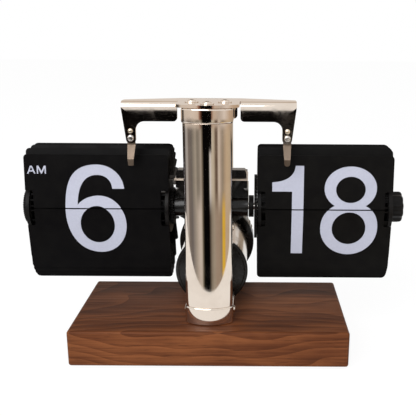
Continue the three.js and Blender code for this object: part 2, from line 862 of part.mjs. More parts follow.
function numeralEight() {
  const e = eight;
  const top = filmPrism(ellipse(e.topOffset, e.topZ, e.topHalf, e.topHeight));
  const bottom = filmPrism(ellipse(e.bottomOffset, e.bottomZ, e.bottomHalf, e.bottomHeight));
  const topHole = filmPrism(ellipse(e.topOffset, e.topHoleZ, e.topHoleHalf, e.topHoleHeight));
  const bottomHole = filmPrism(ellipse(e.bottomOffset, e.bottomHoleZ, e.bottomHoleHalf, e.bottomHoleHeight));
  return cut(join(top, bottom), topHole, bottomHole).translate([minuteMiddle, 0, 0]);
}

// Where the letters start on the hour leaf.
const lettersLeft = hourDrum.inner - hourDrum.width + letters.inset;

function letterA() {
  const { bottom, height, aWidth, stroke } = letters;
  const left = lettersLeft;
  const right = left + aWidth;
  const middle = (left + right) / 2;
  const top = bottom + height;
  const shape = polygon([
    [left, bottom],
    [left + stroke, bottom],
    [left + stroke + stroke / 4, bottom + stroke],
    [right - stroke - stroke / 4, bottom + stroke],
    [right - stroke, bottom],
    [right, bottom],
    [middle + stroke / 2, top],
    [middle - stroke / 2, top],
  ]);
  shape.holes.push(new THREE.Path([
    new THREE.Vector2(middle - stroke / 2, bottom + 2 * stroke),
    new THREE.Vector2(middle + stroke / 2, bottom + 2 * stroke),
    new THREE.Vector2(middle, top - stroke),
  ]));
  return filmPrism(shape);
}

function letterM() {
  const { bottom, height, mWidth, stroke, mShoulder, mValley } = letters;
  const left = lettersLeft + letters.aWidth + letters.space;
  const right = left + mWidth;
  const middle = (left + right) / 2;
  const top = bottom + height;
  return filmPrism(polygon([
    [left, bottom],
    [left + stroke, bottom],
    [left + stroke, top - mShoulder],
    [middle, bottom + stroke],
    [right - stroke, top - mShoulder],
    [right - stroke, bottom],
    [right, bottom],
    [right, top],
    [right - stroke, top],
    [middle, bottom + mValley],
    [left + stroke, top],
    [left, top],
  ]));
}

// Sets a film on the face of the upper or the lower leaf of the front pair.
function addFilm(group, name, solid, upper) {
  const pivot = leafPivot(upper ? upperAngle : lowerAngle);
  const reach = leaf.length + cutOver;
  const front = -leaf.thickness;
  const low = upper ? film.splitHalf : -reach;
  const high = upper ? reach : -film.splitHalf;
  const span = hourDrum.width + minuteDrum.width;
  const half = solid.intersect(block(-span, span, front, 0, low, high));
  const mesh = addPiece(group, name, half.translate([0, 0, splitZ - pivot.z]), ...print);
  mesh.position.set(0, pivot.y, pivot.z);
  mesh.rotation.x = degrees(upper ? -frontLeanAngle : frontLeanAngle);
}

function addNumeral(group, name, solid) {
  addFilm(group, `${name}_upper`, solid, true);
  addFilm(group, `${name}_lower`, solid, false);
}

// Discs and shafts of the drums, in a group that lies on the axis

// A disc with an annular groove in the face towards the leaves.
function drumDisc(face, towards) {
  const back = face - towards * disc.thickness;
  const floor = face - towards * disc.grooveDepth;
  const bore = shaftRadius + boreGap;
  const rim = leaf.pivotRadius + disc.outside;
  const grooveOuter = leaf.pivotRadius + disc.grooveOutside;
  const grooveInner = leaf.pivotRadius - disc.grooveInside;
  return turnedX([
    [bore, back],
    [rim, back],
    [rim, face],
    [grooveOuter, face],
    [grooveOuter, floor],
    [grooveInner, floor],
    [grooveInner, face],
    [bore, face],
    [bore, back],
  ]);
}

// The tube round the shaft between a drum's discs.
function drumSleeve(left, right) {
  const bore = sleeve.radius - sleeve.wall;
  return turnedX([
    [bore, left],
    [sleeve.radius, left],
    [sleeve.radius, right],
    [bore, right],
    [bore, left],
  ]);
}

function pitchRadiusOf(gear) {
  return (gear.teeth * gear.module) / 2;
}

function gearOutline(gear, phase, bore) {
  const pitchRadius = pitchRadiusOf(gear);
  const tip = pitchRadius + addendumShare * gear.module;
  const root = pitchRadius - dedendumShare * gear.module;
  const flank = Math.tan(degrees(toothAngle));
  const halfTooth = (radius) => {
    const thickness = (Math.PI * gear.module) / 4 - backlash / 2 - (radius - pitchRadius) * flank;
    return thickness / radius;
  };
  const points = [];
  for (let i = 0; i < gear.teeth; i += 1) {
    const middle = phase + (2 * Math.PI * i) / gear.teeth;
    for (const [radius, turn] of [
      [root, -halfTooth(root)],
      [tip, -halfTooth(tip)],
      [tip, halfTooth(tip)],
      [root, halfTooth(root)],
    ]) {
      points.push([radius * Math.cos(middle + turn), radius * Math.sin(middle + turn)]);
    }
  }
  const shape = polygon(points);
  if (bore > 0) {
    const hole = new THREE.Path();
    hole.absarc(0, 0, bore, 0, 2 * Math.PI, true);
    shape.holes.push(hole);
  }
  return shape;
}

// Where the arbor and the motor lie, from the drums' axis.
const arborReach = pitchRadiusOf(hourWheel) + pitchRadiusOf(arborPinion);
const motorReach = pitchRadiusOf(minuteWheel) + pitchRadiusOf(motorPinion);
const arborY = axisY + arborReach;
const arborZ = axisZ;
const motorY = axisY + motorReach * Math.cos(degrees(motorBearingAngle));
const motorZ = axisZ + motorReach * Math.sin(degrees(motorBearingAngle));

// Where the wheels outside the case lie along X, between its arms and the drums.
const hourWheelRight = -movement.armHalf - gap;
const minuteWheelLeft = movement.armHalf + wheelGap;

function gearPhase(teeth, direction, meshesWithTooth) {
  return direction + (meshesWithTooth ? Math.PI + Math.PI / teeth : 0);
}

function addHourDrum(group) {
  const outerSide = hourDrum.inner - hourDrum.width;
  const innerFace = hourDrum.inner - disc.thickness;
  const outerFace = outerSide + disc.thickness;
  const wheelLeft = hourWheelRight - hourWheel.thickness;
  const bore = shaftRadius + boreGap;
  const outline = gearOutline(hourWheel, gearPhase(hourWheel.teeth, 0, false), bore);
  const teeth = prismX(outline, wheelLeft, hourWheelRight);
  const wheelRight = outerSide - gap;
  const wheelFace = wheelRight - settingWheel.thickness;
  const pinionLeft = arborWheelX - minutePinion.thickness / 2;
  const shaft = rodX(shaftRadius, wheelFace, pinionLeft - 2 * gap);
  addPiece(group, "hour_shaft", shaft, ...steel);
  addPiece(group, "hour_wheel", teeth, ...satinBlack);
  addPiece(group, "hour_disc_inner", drumDisc(innerFace, -1), ...satinBlack);
  addPiece(group, "hour_disc_outer", drumDisc(outerFace, 1), ...satinBlack);
  addPiece(group, "hour_sleeve", drumSleeve(outerFace + gap, innerFace - gap), ...satinBlack);
  addPiece(group, "hour_setting_wheel", serratedWheel(wheelFace, wheelRight), ...satinBlack);
}

function addMinuteDrum(group) {
  const outerSide = minuteDrum.inner + minuteDrum.width;
  const innerFace = minuteDrum.inner + disc.thickness;
  const outerFace = outerSide - disc.thickness;
  const wheelRight = minuteWheelLeft + minuteWheel.thickness;
  const bearing = degrees(motorBearingAngle);
  const bore = shaftRadius + boreGap;
  const outline = gearOutline(minuteWheel, gearPhase(minuteWheel.teeth, bearing, false), bore);
  const teeth = prismX(outline, minuteWheelLeft, wheelRight);
  const pinionLeft = arborWheelX - minutePinion.thickness / 2;
  const pinion = gearOutline(minutePinion, gearPhase(minutePinion.teeth, 0, false), 0);
  const knobLeft = outerSide + gap;
  const shaft = join(
    prismX(pinion, pinionLeft, pinionLeft + minutePinion.thickness),
    rodX(pinionShaftRadius, pinionLeft, pinionLeft + minutePinion.thickness + gap),
    rodX(shaftRadius, pinionLeft + minutePinion.thickness + gap, knobLeft + knob.length - knob.edge),
  );
  addPiece(group, "minute_shaft", shaft, ...steel);
  addPiece(group, "minute_wheel", teeth, ...satinBlack);
  addPiece(group, "minute_disc_inner", drumDisc(innerFace, 1), ...satinBlack);
  addPiece(group, "minute_disc_outer", drumDisc(outerFace, -1), ...satinBlack);
  addPiece(group, "minute_sleeve", drumSleeve(innerFace + gap, outerFace - gap), ...satinBlack);
  addPiece(group, "time_knob", flutedKnob(knobLeft), ...satinBlack);
}

// A round outline in Y and Z whose radius goes in and out, with a bore.
function wavyOutline(radius, depth, count, perWave, bore) {
  const points = [];
  const steps = count * perWave;
  for (let i = 0; i < steps; i += 1) {
    const angle = (2 * Math.PI * i) / steps;
    const wave = (1 + Math.cos(count * angle)) / 2;
    const reach = radius - depth * (1 - wave);
    points.push([reach * Math.cos(angle), reach * Math.sin(angle)]);
  }
  const shape = polygon(points);
  const hole = new THREE.Path();
  hole.absarc(0, 0, bore, 0, 2 * Math.PI, true);
  shape.holes.push(hole);
  return shape;
}

function serratedWheel(left, right) {
  const outline = wavyOutline(
    settingWheel.radius,
    settingWheel.toothDepth,
    settingWheel.teeth,
    serrationSteps,
    shaftRadius + boreGap,
  );
  return prismX(outline, left, right);
}

function flutedKnob(left) {
  const outline = wavyOutline(knob.radius, knob.fluteDepth, knob.flutes, fluteSteps, shaftRadius + boreGap);
  const body = prismX(outline, left, left + knob.length);
  const rim = turnedX([
    [0, left],
    [knob.radius, left],
    [knob.radius, left + knob.length - knob.edge],
    [knob.radius - knob.edge, left + knob.length],
    [0, left + knob.length],
  ], 2 * roundSteps);
  return body.intersect(rim);
}

// Arbor with the wheel that the minute shaft drives and the pinion that drives the hour wheel

function addArbor(group) {
  const pinionRight = hourWheelRight;
  const pinionLeft = pinionRight - arborPinion.thickness;
  const wheelLeft = arborWheelX - arborWheel.thickness / 2;
  const wheelOutline = gearOutline(arborWheel, gearPhase(arborWheel.teeth, Math.PI, true) - Math.PI, 0);
  const pinionOutline = gearOutline(arborPinion, gearPhase(arborPinion.teeth, 0, true), 0);
  const arbor = join(
    rodX(arborRadius, pinionLeft, movement.armHalf - gap),
    prismX(pinionOutline, pinionLeft, pinionRight),
    prismX(wheelOutline, wheelLeft, wheelLeft + arborWheel.thickness),
  );
  addPiece(group, "transfer_gear", arbor, ...brass);
}

// Motor and its pinion

function addMotor(group) {
  const right = motor.left + motor.length;
  const snoutEnd = right + motor.snoutLength;
  const bore = motor.shaft + boreGap;
  const body = turnedX([
    [0, motor.left],
    [motor.radius, motor.left],
    [motor.radius, right],
    [motor.snout, right],
    [motor.snout, snoutEnd],
    [bore, snoutEnd],
    [bore, right - motor.snoutLength],
    [0, right - motor.snoutLength],
  ]);
  addPiece(group, "motor", body, ...steel);
}

function addMotorPinion(group) {
  const right = motor.left + motor.length;
  const shaftLeft = right - motor.snoutLength + gap;
  const pinionRight = minuteWheelLeft + motorPinion.thickness;
  const bearing = degrees(motorBearingAngle);
  const outline = gearOutline(motorPinion, gearPhase(motorPinion.teeth, bearing, true), 0);
  const body = join(
    rodX(motor.shaft, shaftLeft, pinionRight),
    prismX(outline, minuteWheelLeft, pinionRight),
  );
  addPiece(group, "motor_pinion", body, ...brass);
}

// Movement case: a middle behind the column and two arms out to the drums, hollow and open at the back

function caseOutline(inset) {
  const half = movement.half - inset;
  const arm = movement.armHalf - inset;
  const mid = movement.midHalf - inset;
  const mitre = movement.mitreHalf - inset;
  const right = [
    [half, movement.bottom + inset],
    [half, movement.elbow + inset],
    [arm, movement.armBottom + inset],
    [arm, movement.armTop - inset / 2],
    [mitre, movement.mitreTop],
    [mid, movement.mitreTop + inset / 2],
    [mid, movement.top - inset],
  ];
  const left = right.map(([x, z]) => [-x, z]).reverse();
  return polygon([...right, ...left].map(([x, z]) => [x, axisZ + z]));
}

const caseFront = axisY + movement.front;
const caseBack = axisY + movement.back;

function movementCase() {
  const arms = prismY(caseOutline(0), caseFront, caseBack);
  const middle = block(
    -movement.half,
    movement.half,
    column.back + gap,
    caseBack,
    axisZ + movement.bottom,
    axisZ + movement.top,
  );
  const boss = rodX(movement.bossRadius, -movement.armHalf, movement.armHalf, roundSteps);
  const cavity = prismY(caseOutline(movement.wall), caseFront + movement.wall, caseBack + cutOver);
  const shell = cut(join(arms, middle, boss.translate([0, axisY, axisZ])), cavity);
  const reach = movement.armHalf + cutOver;
  const shaftBore = rodX(shaftRadius + boreGap, -reach, reach).translate([0, axisY, axisZ]);
  const pinionRoom = rodX(pinionRoomRadius(), -movement.half + movement.wall, movement.half - movement.wall);
  const arborBore = rodX(arborRadius + boreGap, -reach, reach).translate([0, arborY, arborZ]);
  const motorBore = rodX(motor.shaft + boreGap, 0, reach).translate([0, motorY, motorZ]);
  return cut(shell, shaftBore, pinionRoom.translate([0, axisY, axisZ]), arborBore, motorBore);
}

function pinionRoomRadius() {
  return movement.bossRadius - movement.wall / 2;
}

function movementCover() {
  const panel = prismY(caseOutline(0), caseBack, caseBack + movement.coverThickness);
  const lip = prismY(
    caseOutline(movement.wall + gap),
    caseBack - movement.coverLip,
    caseBack + movement.coverThickness / 2,
  );
  return join(panel, lip);
}

function addMovement(group) {
  const plateBottom = axisZ + movement.top + gap;
  const plateLevel = plateBottom + brightPlate.thickness;
  const half = brightPlate.half;
  const plateFront = axisY + brightPlate.front;
  const blockFront = axisY + topBlock.front;
  const blockBottom = plateLevel + gap;
  const blockTop = blockBottom + topBlock.height;
  const blockOutline = polygon([
    [-topBlock.half, blockBottom],
    [topBlock.half, blockBottom],
    [topBlock.half, blockBottom + topBlock.height / 2],
    [topBlock.topHalf, blockTop],
    [-topBlock.topHalf, blockTop],
    [-topBlock.half, blockBottom + topBlock.height / 2],
  ]);
  addPiece(group, "movement_case", movementCase(), ...glossBlack);
  addPiece(group, "movement_cover", movementCover(), ...glossBlack);
  const sheet = block(-half, half, plateFront, plateFront + brightPlate.depth, plateBottom, plateLevel);
  addPiece(group, "movement_plate", sheet, ...steel);
  addPiece(group, "top_block", prismY(blockOutline, blockFront, blockFront + topBlock.depth), ...glossBlack);
}

// Battery holder, laid along Y under the movement

function addBattery(group) {
  const b = battery;
  const capBack = b.front + b.capThickness;
  const tubeFront = capBack + gap;
  const ringFront = b.tubeEnd - b.ringOverlap;
  const ringBack = b.tubeEnd + b.ringLength - b.ringOverlap;
  const coverFront = ringBack + gap;
  const coverFloor = b.coverEnd - b.coverWall;
  const cellEnd = coverFloor - gap;
  const cellFront = cellEnd - b.cellLength;
  const capSolid = turnedY([
    [0, b.front],
    [b.capRadius - b.capThickness / 4, b.front],
    [b.capRadius, b.front + b.capThickness / 4],
    [b.capRadius, capBack],
    [0, capBack],
  ]);
  const tubeSolid = turnedY([
    [b.tubeBore, tubeFront],
    [b.tubeRadius, tubeFront],
    [b.tubeRadius, b.tubeEnd],
    [b.tubeBore, b.tubeEnd],
    [b.tubeBore, tubeFront],
  ]);
  const ringBore = b.tubeRadius + gap;
  const ringSolid = turnedY([
    [ringBore, ringFront],
    [b.ringRadius, ringFront],
    [b.ringRadius, ringBack],
    [ringBore, ringBack],
    [ringBore, ringFront],
  ]);
  const coverSolid = turnedY([
    [ringBore, coverFront],
    [b.ringRadius, coverFront],
    [b.ringRadius, b.coverEnd - b.coverEdge],
    [b.ringRadius - b.coverEdge, b.coverEnd],
    [0, b.coverEnd],
    [0, coverFloor],
    [ringBore, coverFloor],
    [ringBore, coverFront],
  ]);
  const cellSolid = turnedY([
    [0, cellFront],
    [b.terminalRadius, cellFront],
    [b.terminalRadius, cellFront + b.terminalLength],
    [b.cellRadius, cellFront + b.terminalLength],
    [b.cellRadius, cellEnd],
    [0, cellEnd],
  ]);
  addPiece(group, "battery_front_cap", capSolid, ...glossBlack);
  addPiece(group, "battery_tube", tubeSolid, ...chrome);
  addPiece(group, "battery_rear_ring", ringSolid, ...glossBlack);
  addPiece(group, "battery_cover", coverSolid, ...glossBlack);
  addPiece(group, "battery_cell", cellSolid, ...steel);
  addPiece(group, "battery_spring", contactSpring(capBack, cellFront), ...steel);
}

// A short coil between the front cap and the cell.
class CoilCurve extends THREE.Curve {
  constructor(radius, front, back, turns) {
    super();
    Object.assign(this, { radius, front, back, turns });
  }

  getPoint(t) {
    const angle = 2 * Math.PI * this.turns * t;
    const y = this.front + t * (this.back - this.front);
    return new THREE.Vector3(this.radius * Math.cos(angle), y, this.radius * Math.sin(angle));
  }
}

function contactSpring(capBack, cellFront) {
  const front = capBack + spring.wire + gap / 4;
  const back = cellFront - spring.wire - gap / 4;
  const path = new CoilCurve(spring.coil, front, back, spring.turns);
  const section = new THREE.Shape();
  section.absarc(0, 0, spring.wire, 0, 2 * Math.PI);
  const geometry = new THREE.ExtrudeGeometry(section, {
    steps: spring.turns * spring.steps,
    curveSegments: spring.sides,
    extrudePath: path,
    bevelEnabled: false,
  });
  return solidOf(geometry);
}

function batterySaddle() {
  const top = axisZ + movement.bottom - gap;
  const bottom = batteryZ + battery.tubeRadius - saddle.wrap;
  const pad = block(-saddle.half, saddle.half, saddle.front, saddle.back, bottom, top);
  const reach = battery.tubeRadius + gap;
  const room = turnedY([
    [0, saddle.front - cutOver],
    [reach, saddle.front - cutOver],
    [reach, saddle.back + cutOver],
    [0, saddle.back + cutOver],
  ], 2 * roundSteps);
  return cut(pad, room.translate([0, 0, batteryZ]));
}

// The whole clock

const clock = new THREE.Group();

const stand = new THREE.Group();
addPiece(stand, "felt_sheet", feltSheet(), "#2c2a28", 0.95, 0);
addPiece(stand, "wood_base", woodBlock(), "#6b3f2a", 0.5, 0);
addPiece(stand, "column_foot", columnFoot(), ...chrome);
addPiece(stand, "column_tube", columnTube(), ...chrome);
addPiece(stand, "column_cap", columnCap(), ...chrome);
addPiece(stand, "top_plate", topPlate(), ...chrome);
addPlateScrews(stand);
addSideScrews(stand);
addFingers(stand);
addMovement(stand);
addPiece(stand, "battery_saddle", batterySaddle(), ...glossBlack);
clock.add(stand);

const batteryHolder = new THREE.Group();
batteryHolder.position.z = batteryZ;
addBattery(batteryHolder);
clock.add(batteryHolder);

const drums = new THREE.Group();
drums.position.set(0, axisY, axisZ);
addHourDrum(drums);
addMinuteDrum(drums);
clock.add(drums);

const arborGroup = new THREE.Group();
arborGroup.position.set(0, arborY, arborZ);
addArbor(arborGroup);
clock.add(arborGroup);

const motorGroup = new THREE.Group();
motorGroup.position.set(0, motorY, motorZ);
addMotor(motorGroup);
addMotorPinion(motorGroup);
clock.add(motorGroup);

const leaves = new THREE.Group();
addLeaves(leaves, "hour", hourDrum, hourLeafCount);
addLeaves(leaves, "minute", minuteDrum, minuteLeafCount);
addNumeral(leaves, "hour_six", numeralSix());
addNumeral(leaves, "minute_one", numeralOne());
addNumeral(leaves, "minute_eight", numeralEight());
addFilm(leaves, "letter_a", letterA(), true);
addFilm(leaves, "letter_m", letterM(), true);
clock.add(leaves);

export default clock;
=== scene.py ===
# Flip clock on a walnut base: finer pieces, finishes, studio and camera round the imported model.
import math
from functools import partial

import bmesh
import bpy
from mathutils import Matrix, Vector


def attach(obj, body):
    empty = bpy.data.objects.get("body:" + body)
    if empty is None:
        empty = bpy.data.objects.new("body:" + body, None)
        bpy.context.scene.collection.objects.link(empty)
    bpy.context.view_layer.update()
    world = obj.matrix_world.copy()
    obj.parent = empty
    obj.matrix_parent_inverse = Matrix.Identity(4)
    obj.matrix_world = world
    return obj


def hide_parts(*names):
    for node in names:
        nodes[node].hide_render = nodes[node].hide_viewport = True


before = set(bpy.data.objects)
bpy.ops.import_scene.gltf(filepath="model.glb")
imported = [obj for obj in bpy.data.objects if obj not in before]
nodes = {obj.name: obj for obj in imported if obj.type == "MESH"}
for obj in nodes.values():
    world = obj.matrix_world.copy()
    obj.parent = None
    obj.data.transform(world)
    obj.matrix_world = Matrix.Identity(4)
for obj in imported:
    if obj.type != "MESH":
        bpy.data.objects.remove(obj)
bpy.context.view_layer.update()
mm = 0.001
print("frame loaded:", len(nodes), "nodes")


def linkObject(name, data):
    made = bpy.data.objects.new(name, data)
    bpy.context.scene.collection.objects.link(made)
    return made


# Camera, where the photographer stood: millimetres and degrees, the clip distances in metres
view = {
    "place": (21.9, -336.5, 167.3),
    "pitchDown": 15.06,
    "roll": 0.33,
    "lens": 55.9,
    "sensor": 36.0,
    "shiftX": -0.105,
    "clip": (0.01, 20),
}


def makeCamera():
    data = bpy.data.cameras.new("frontCamera")
    data.lens = view["lens"]
    data.sensor_width = view["sensor"]
    data.shift_x = view["shiftX"]
    data.clip_start, data.clip_end = view["clip"]
    cam = linkObject("frontCamera", data)
    tilt = Matrix.Rotation(math.radians(90 - view["pitchDown"]), 4, "X")
    turn = Matrix.Rotation(math.radians(view["roll"]), 4, "Z")
    cam.matrix_world = Matrix.Translation(Vector(view["place"]) * mm) @ tilt @ turn
    bpy.context.scene.camera = cam


makeCamera()


# Node helpers

# A value that is a socket is linked, and any other becomes the input's own value
def setInputs(node, inputs):
    for key, value in inputs.items():
        if isinstance(value, bpy.types.NodeSocket):
            node.id_data.links.new(value, node.inputs[key])
        else:
            node.inputs[key].default_value = value


def addNode(tree, kind, inputs, **settings):
    node = tree.nodes.new(kind)
    for key, value in settings.items():
        setattr(node, key, value)
    setInputs(node, inputs)
    return node


def newGroup(name, inputs, outputs):
    tree = bpy.data.node_groups.new(name, "ShaderNodeTree")
    for label, value in inputs.items():
        kind = "NodeSocketVector" if isinstance(value, tuple) else "NodeSocketFloat"
        tree.interface.new_socket(name=label, in_out="INPUT", socket_type=kind).default_value = value
    for label in outputs:
        tree.interface.new_socket(name=label, in_out="OUTPUT", socket_type="NodeSocketFloat")
    return tree, tree.nodes.new("NodeGroupInput").outputs, tree.nodes.new("NodeGroupOutput")


# The tree that a new node belongs in: that of the first socket among its inputs
def treeOf(*values):
    return next(value.id_data for value in values if isinstance(value, bpy.types.NodeSocket))


def useGroup(group, **values):
    return addNode(treeOf(*values.values()), "ShaderNodeGroup", values, node_tree=group).outputs


# A colour read off a screen, 0 to 255, as the shader wants it
def rgb(red, green, blue):
    return (*(((c / 255 + 0.055) / 1.055) ** 2.4 for c in (red, green, blue)), 1.0)


def stretched(place, scale, location=(0, 0, 0)):
    node = addNode(treeOf(place), "ShaderNodeMapping", {"Vector": place, "Scale": scale, "Location": location})
    return node.outputs["Vector"]


def objectPlace(tree):
    return addNode(tree, "ShaderNodeTexCoord", {}).outputs["Object"]


# Position in millimetres, for patterns at their real size
def millimetres(tree):
    return stretched(objectPlace(tree), (1 / mm, 1 / mm, 1 / mm))


def noise(place, scale, detail=3.0, roughness=0.5, distortion=0.0, output="Fac"):
    return addNode(treeOf(place), "ShaderNodeTexNoise", {
        "Vector": place, "Scale": scale, "Detail": detail, "Roughness": roughness,
        "Distortion": distortion}).outputs[output]


def remap(value, low, high, toLow=0.0, toHigh=1.0, kind="LINEAR"):
    return addNode(treeOf(value), "ShaderNodeMapRange", {
        "Value": value, "From Min": low, "From Max": high, "To Min": toLow, "To Max": toHigh},
        interpolation_type=kind).outputs["Result"]


def mathNode(operation, first, second):
    values = {0: first, 1: second}
    return addNode(treeOf(first, second), "ShaderNodeMath", values, operation=operation).outputs["Value"]


plus, minus, times, divide, largest = (
    partial(mathNode, operation) for operation in ("ADD", "SUBTRACT", "MULTIPLY", "DIVIDE", "MAXIMUM"))


# The mix node numbers its sockets by kind: 6 and 7 take the colours, and the mixed colour leaves by 2
def mixColour(share, first, second):
    values = {0: share, 6: first, 7: second}
    return addNode(treeOf(share), "ShaderNodeMix", values, data_type="RGBA").outputs[2]


def ramp(value, stops):
    node = addNode(treeOf(value), "ShaderNodeValToRGB", {"Fac": value})
    elements = node.color_ramp.elements
    while len(elements) < len(stops):
        elements.new(0.5)
    for element, (position, colour) in zip(elements, stops):
        element.position = position
        element.color = colour
    return node.outputs["Color"]


# Gives a finish its colour, its roughness and a fine relief, whose depth is in metres
def dress(shader, colour, roughness, height, strength, depth):
    relief = addNode(shader.id_data, "ShaderNodeBump", {"Height": height, "Strength": strength, "Distance": depth})
    setInputs(shader, {"Base Color": colour, "Roughness": roughness, "Normal": relief.outputs["Normal"]})


# Modelling helpers: everything is drawn in millimetres and scaled when the piece is finished

weldDistance = 0.001
fineDistance = 0.0005
cutDistance = 0.0001


def vertsOf(made):
    return [g for g in made if isinstance(g, bmesh.types.BMVert)]


def edgesAt(verts):
    return list({e for v in verts for e in v.link_edges})


def openEdges(edges):
    return [e for e in edges if len(e.link_faces) == 1]


def everything(bm):
    return bm.verts[:] + bm.edges[:] + bm.faces[:]


def weld(bm, distance=weldDistance):
    bmesh.ops.remove_doubles(bm, verts=bm.verts, dist=distance)


def faceOutward(bm):
    bmesh.ops.recalc_face_normals(bm, faces=bm.faces)


def scaleAll(bm, factor):
    bmesh.ops.scale(bm, vec=(factor, factor, factor), verts=bm.verts)


def move(bm, vector=(0, 0, 0), turn=0.0, axis="X", verts=None):
    verts = verts or bm.verts
    if turn:
        matrix = Matrix.Rotation(math.radians(turn), 3, axis)
        bmesh.ops.rotate(bm, cent=(0, 0, 0), matrix=matrix, verts=verts)
    bmesh.ops.translate(bm, vec=vector, verts=verts)


# A closed outline in X and Y: (x, y) is a straight line, (x, y, degrees, steps) an arc about that centre
def drawOutline(bm, start, path):
    first = last = bm.verts.new((*start, 0))
    for leg in path:
        if len(leg) == 2:
            new = bm.verts.new((*leg, 0))
            bm.edges.new((last, new))
        else:
            x, y, angle, steps = leg
            turned = bmesh.ops.spin(bm, geom=[last], cent=(x, y, 0), axis=(0, 0, 1),
                                    angle=math.radians(angle), steps=steps, use_duplicate=False)
            new = vertsOf(turned["geom_last"])[0]
        last = new
    bm.edges.new((last, first))
    weld(bm)


# Cuts across Y. With clear_outer, what lies on the side that the cut looks to goes
def cutPlane(bm, y, side, **clear):
    bmesh.ops.bisect_plane(bm, geom=everything(bm), dist=cutDistance, plane_co=(0, y, 0),
                           plane_no=(0, side, 0), **clear)


def fillFace(bm):
    bmesh.ops.contextual_create(bm, geom=bm.edges[:])


# Rounds the corners of a flat face: places are (x, y), each the corner to round
def roundCorners(bm, places, radius, steps):
    corners = [min(bm.verts, key=lambda v: (v.co.xy - Vector(place)).length) for place in places]
    bmesh.ops.bevel(bm, geom=corners, offset=radius, offset_type="OFFSET", segments=steps,
                    profile=0.5, affect="VERTICES", material=-1)


def pull(bm, height):
    made = bmesh.ops.extrude_face_region(bm, geom=bm.faces[:])
    move(bm, (0, 0, height), verts=vertsOf(made["geom"]))
    faceOutward(bm)


def roundEdges(bm, width, segments=2, angle=60):
    bm.normal_update()
    limit = math.radians(angle)
    edges = [e for e in bm.edges if len(e.link_faces) == 2 and e.calc_face_angle(0) > limit]
    bmesh.ops.bevel(bm, geom=edges, offset=width, offset_type="OFFSET", segments=segments,
                    profile=0.5, affect="EDGES", clamp_overlap=True, material=-1)


# A turned shape: its profile lists (radius, place along the axis)
def turned(bm, profile, axis, centre=(0, 0, 0), steps=64, close=False):
    along = {"X": (1, 0, 0), "Y": (0, 1, 0), "Z": (0, 0, 1)}[axis]
    across = (1, 0, 0) if axis == "Z" else (0, 0, 1)
    places = [Vector(across) * radius + Vector(along) * reach + Vector(centre) for radius, reach in profile]
    chain = [bm.verts.new(place) for place in places]
    edges = [bm.edges.new(pair) for pair in zip(chain, chain[1:])]
    if close:
        edges.append(bm.edges.new((chain[-1], chain[0])))
    bmesh.ops.spin(bm, geom=chain + edges, cent=centre, axis=along, angle=math.tau, steps=steps,
                   use_merge=True, use_duplicate=False)
    weld(bm)
    faceOutward(bm)


# Adds a bmesh to another one
def add(bm, other):
    mesh = bpy.data.meshes.new("part")
    other.to_mesh(mesh)
    other.free()
    bm.from_mesh(mesh)
    bpy.data.meshes.remove(mesh)


# The finishes of the pieces, and the names of the pieces made
finishes = {}
pieceList = []


# A piece is named after its node, unless it gets a name of its own: top_plate gives topPlate
def pieceName(node):
    first, *others = node.split("_")
    return first + "".join(word.capitalize() for word in others)


def meshObject(name, bm, material):
    mesh = bpy.data.meshes.new(name)
    bm.to_mesh(mesh)
    bm.free()
    mesh.materials.append(material)
    return linkObject(name, mesh)


def newPiece(bm, node, finish, body, name):
    scaleAll(bm, mm)
    piece = meshObject(name or pieceName(node), bm, finishes[finish])
    for polygon in piece.data.polygons:
        polygon.use_smooth = True
    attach(piece, body)
    if node:
        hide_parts(node)
    pieceList.append(piece.name)
    return piece


def finishPiece(bm, node, finish, body, name="", sharpAngle=38, weighted=True):
    weld(bm, fineDistance)
    faceOutward(bm)
    piece = newPiece(bm, node, finish, body, name)
    piece.data.set_sharp_from_angle(angle=math.radians(sharpAngle))
    if weighted:
        piece.modifiers.new("facing", "WEIGHTED_NORMAL").keep_sharp = True
    return piece


def breakEdges(piece, name, width, angle):
    bevel = piece.modifiers.new(name, "BEVEL")
    bevel.width = width * mm
    bevel.segments = 2
    bevel.limit_method = "ANGLE"
    bevel.angle_limit = math.radians(angle)
    bevel.harden_normals = True


sheetAngle = 50


# A sheet whose drawn face is its outer one: a Solidify gives it its wall and a Bevel breaks the rims
def finishSheet(bm, node, finish, thickness, edge):
    piece = newPiece(bm, node, finish, "stand", "")
    wall = piece.modifiers.new("wall", "SOLIDIFY")
    wall.thickness = thickness * mm
    wall.offset = -1
    wall.use_even_offset = True
    breakEdges(piece, "rims", edge, sheetAngle)


# A finer copy of a solid of the model: merged, its flats cleaned, its edges broken by a small bevel
refineAngles = {"flat": 0.6, "sharp": 30}


def refineNode(node, finish, body, edge, name=""):
    bm = bmesh.new()
    bm.from_mesh(nodes[node].data)
    scaleAll(bm, 1 / mm)
    weld(bm)
    bmesh.ops.dissolve_limit(bm, angle_limit=math.radians(refineAngles["flat"]), verts=bm.verts,
                             edges=bm.edges, delimit={"NORMAL"})
    piece = finishPiece(bm, node, finish, body, name, refineAngles["sharp"], weighted=False)
    breakEdges(piece, "brokenEdges", edge, refineAngles["sharp"])


# Groups shared by the finishes. Their places are in millimetres

def makeFingerMarks():
    tree, start, end = newGroup(
        "fingerMarks", {"Place": (0, 0, 0), "Size": 12.0, "Clean": 0.06, "Smudged": 0.12}, ["Roughness"])
    cloud = noise(start["Place"], divide(1.0, start["Size"]), 4, 0.62, 0.8)
    patch = remap(cloud, 0.45, 0.7, kind="SMOOTHSTEP")
    span = minus(start["Smudged"], start["Clean"])
    setInputs(end, {"Roughness": plus(start["Clean"], times(span, patch))})
    return tree


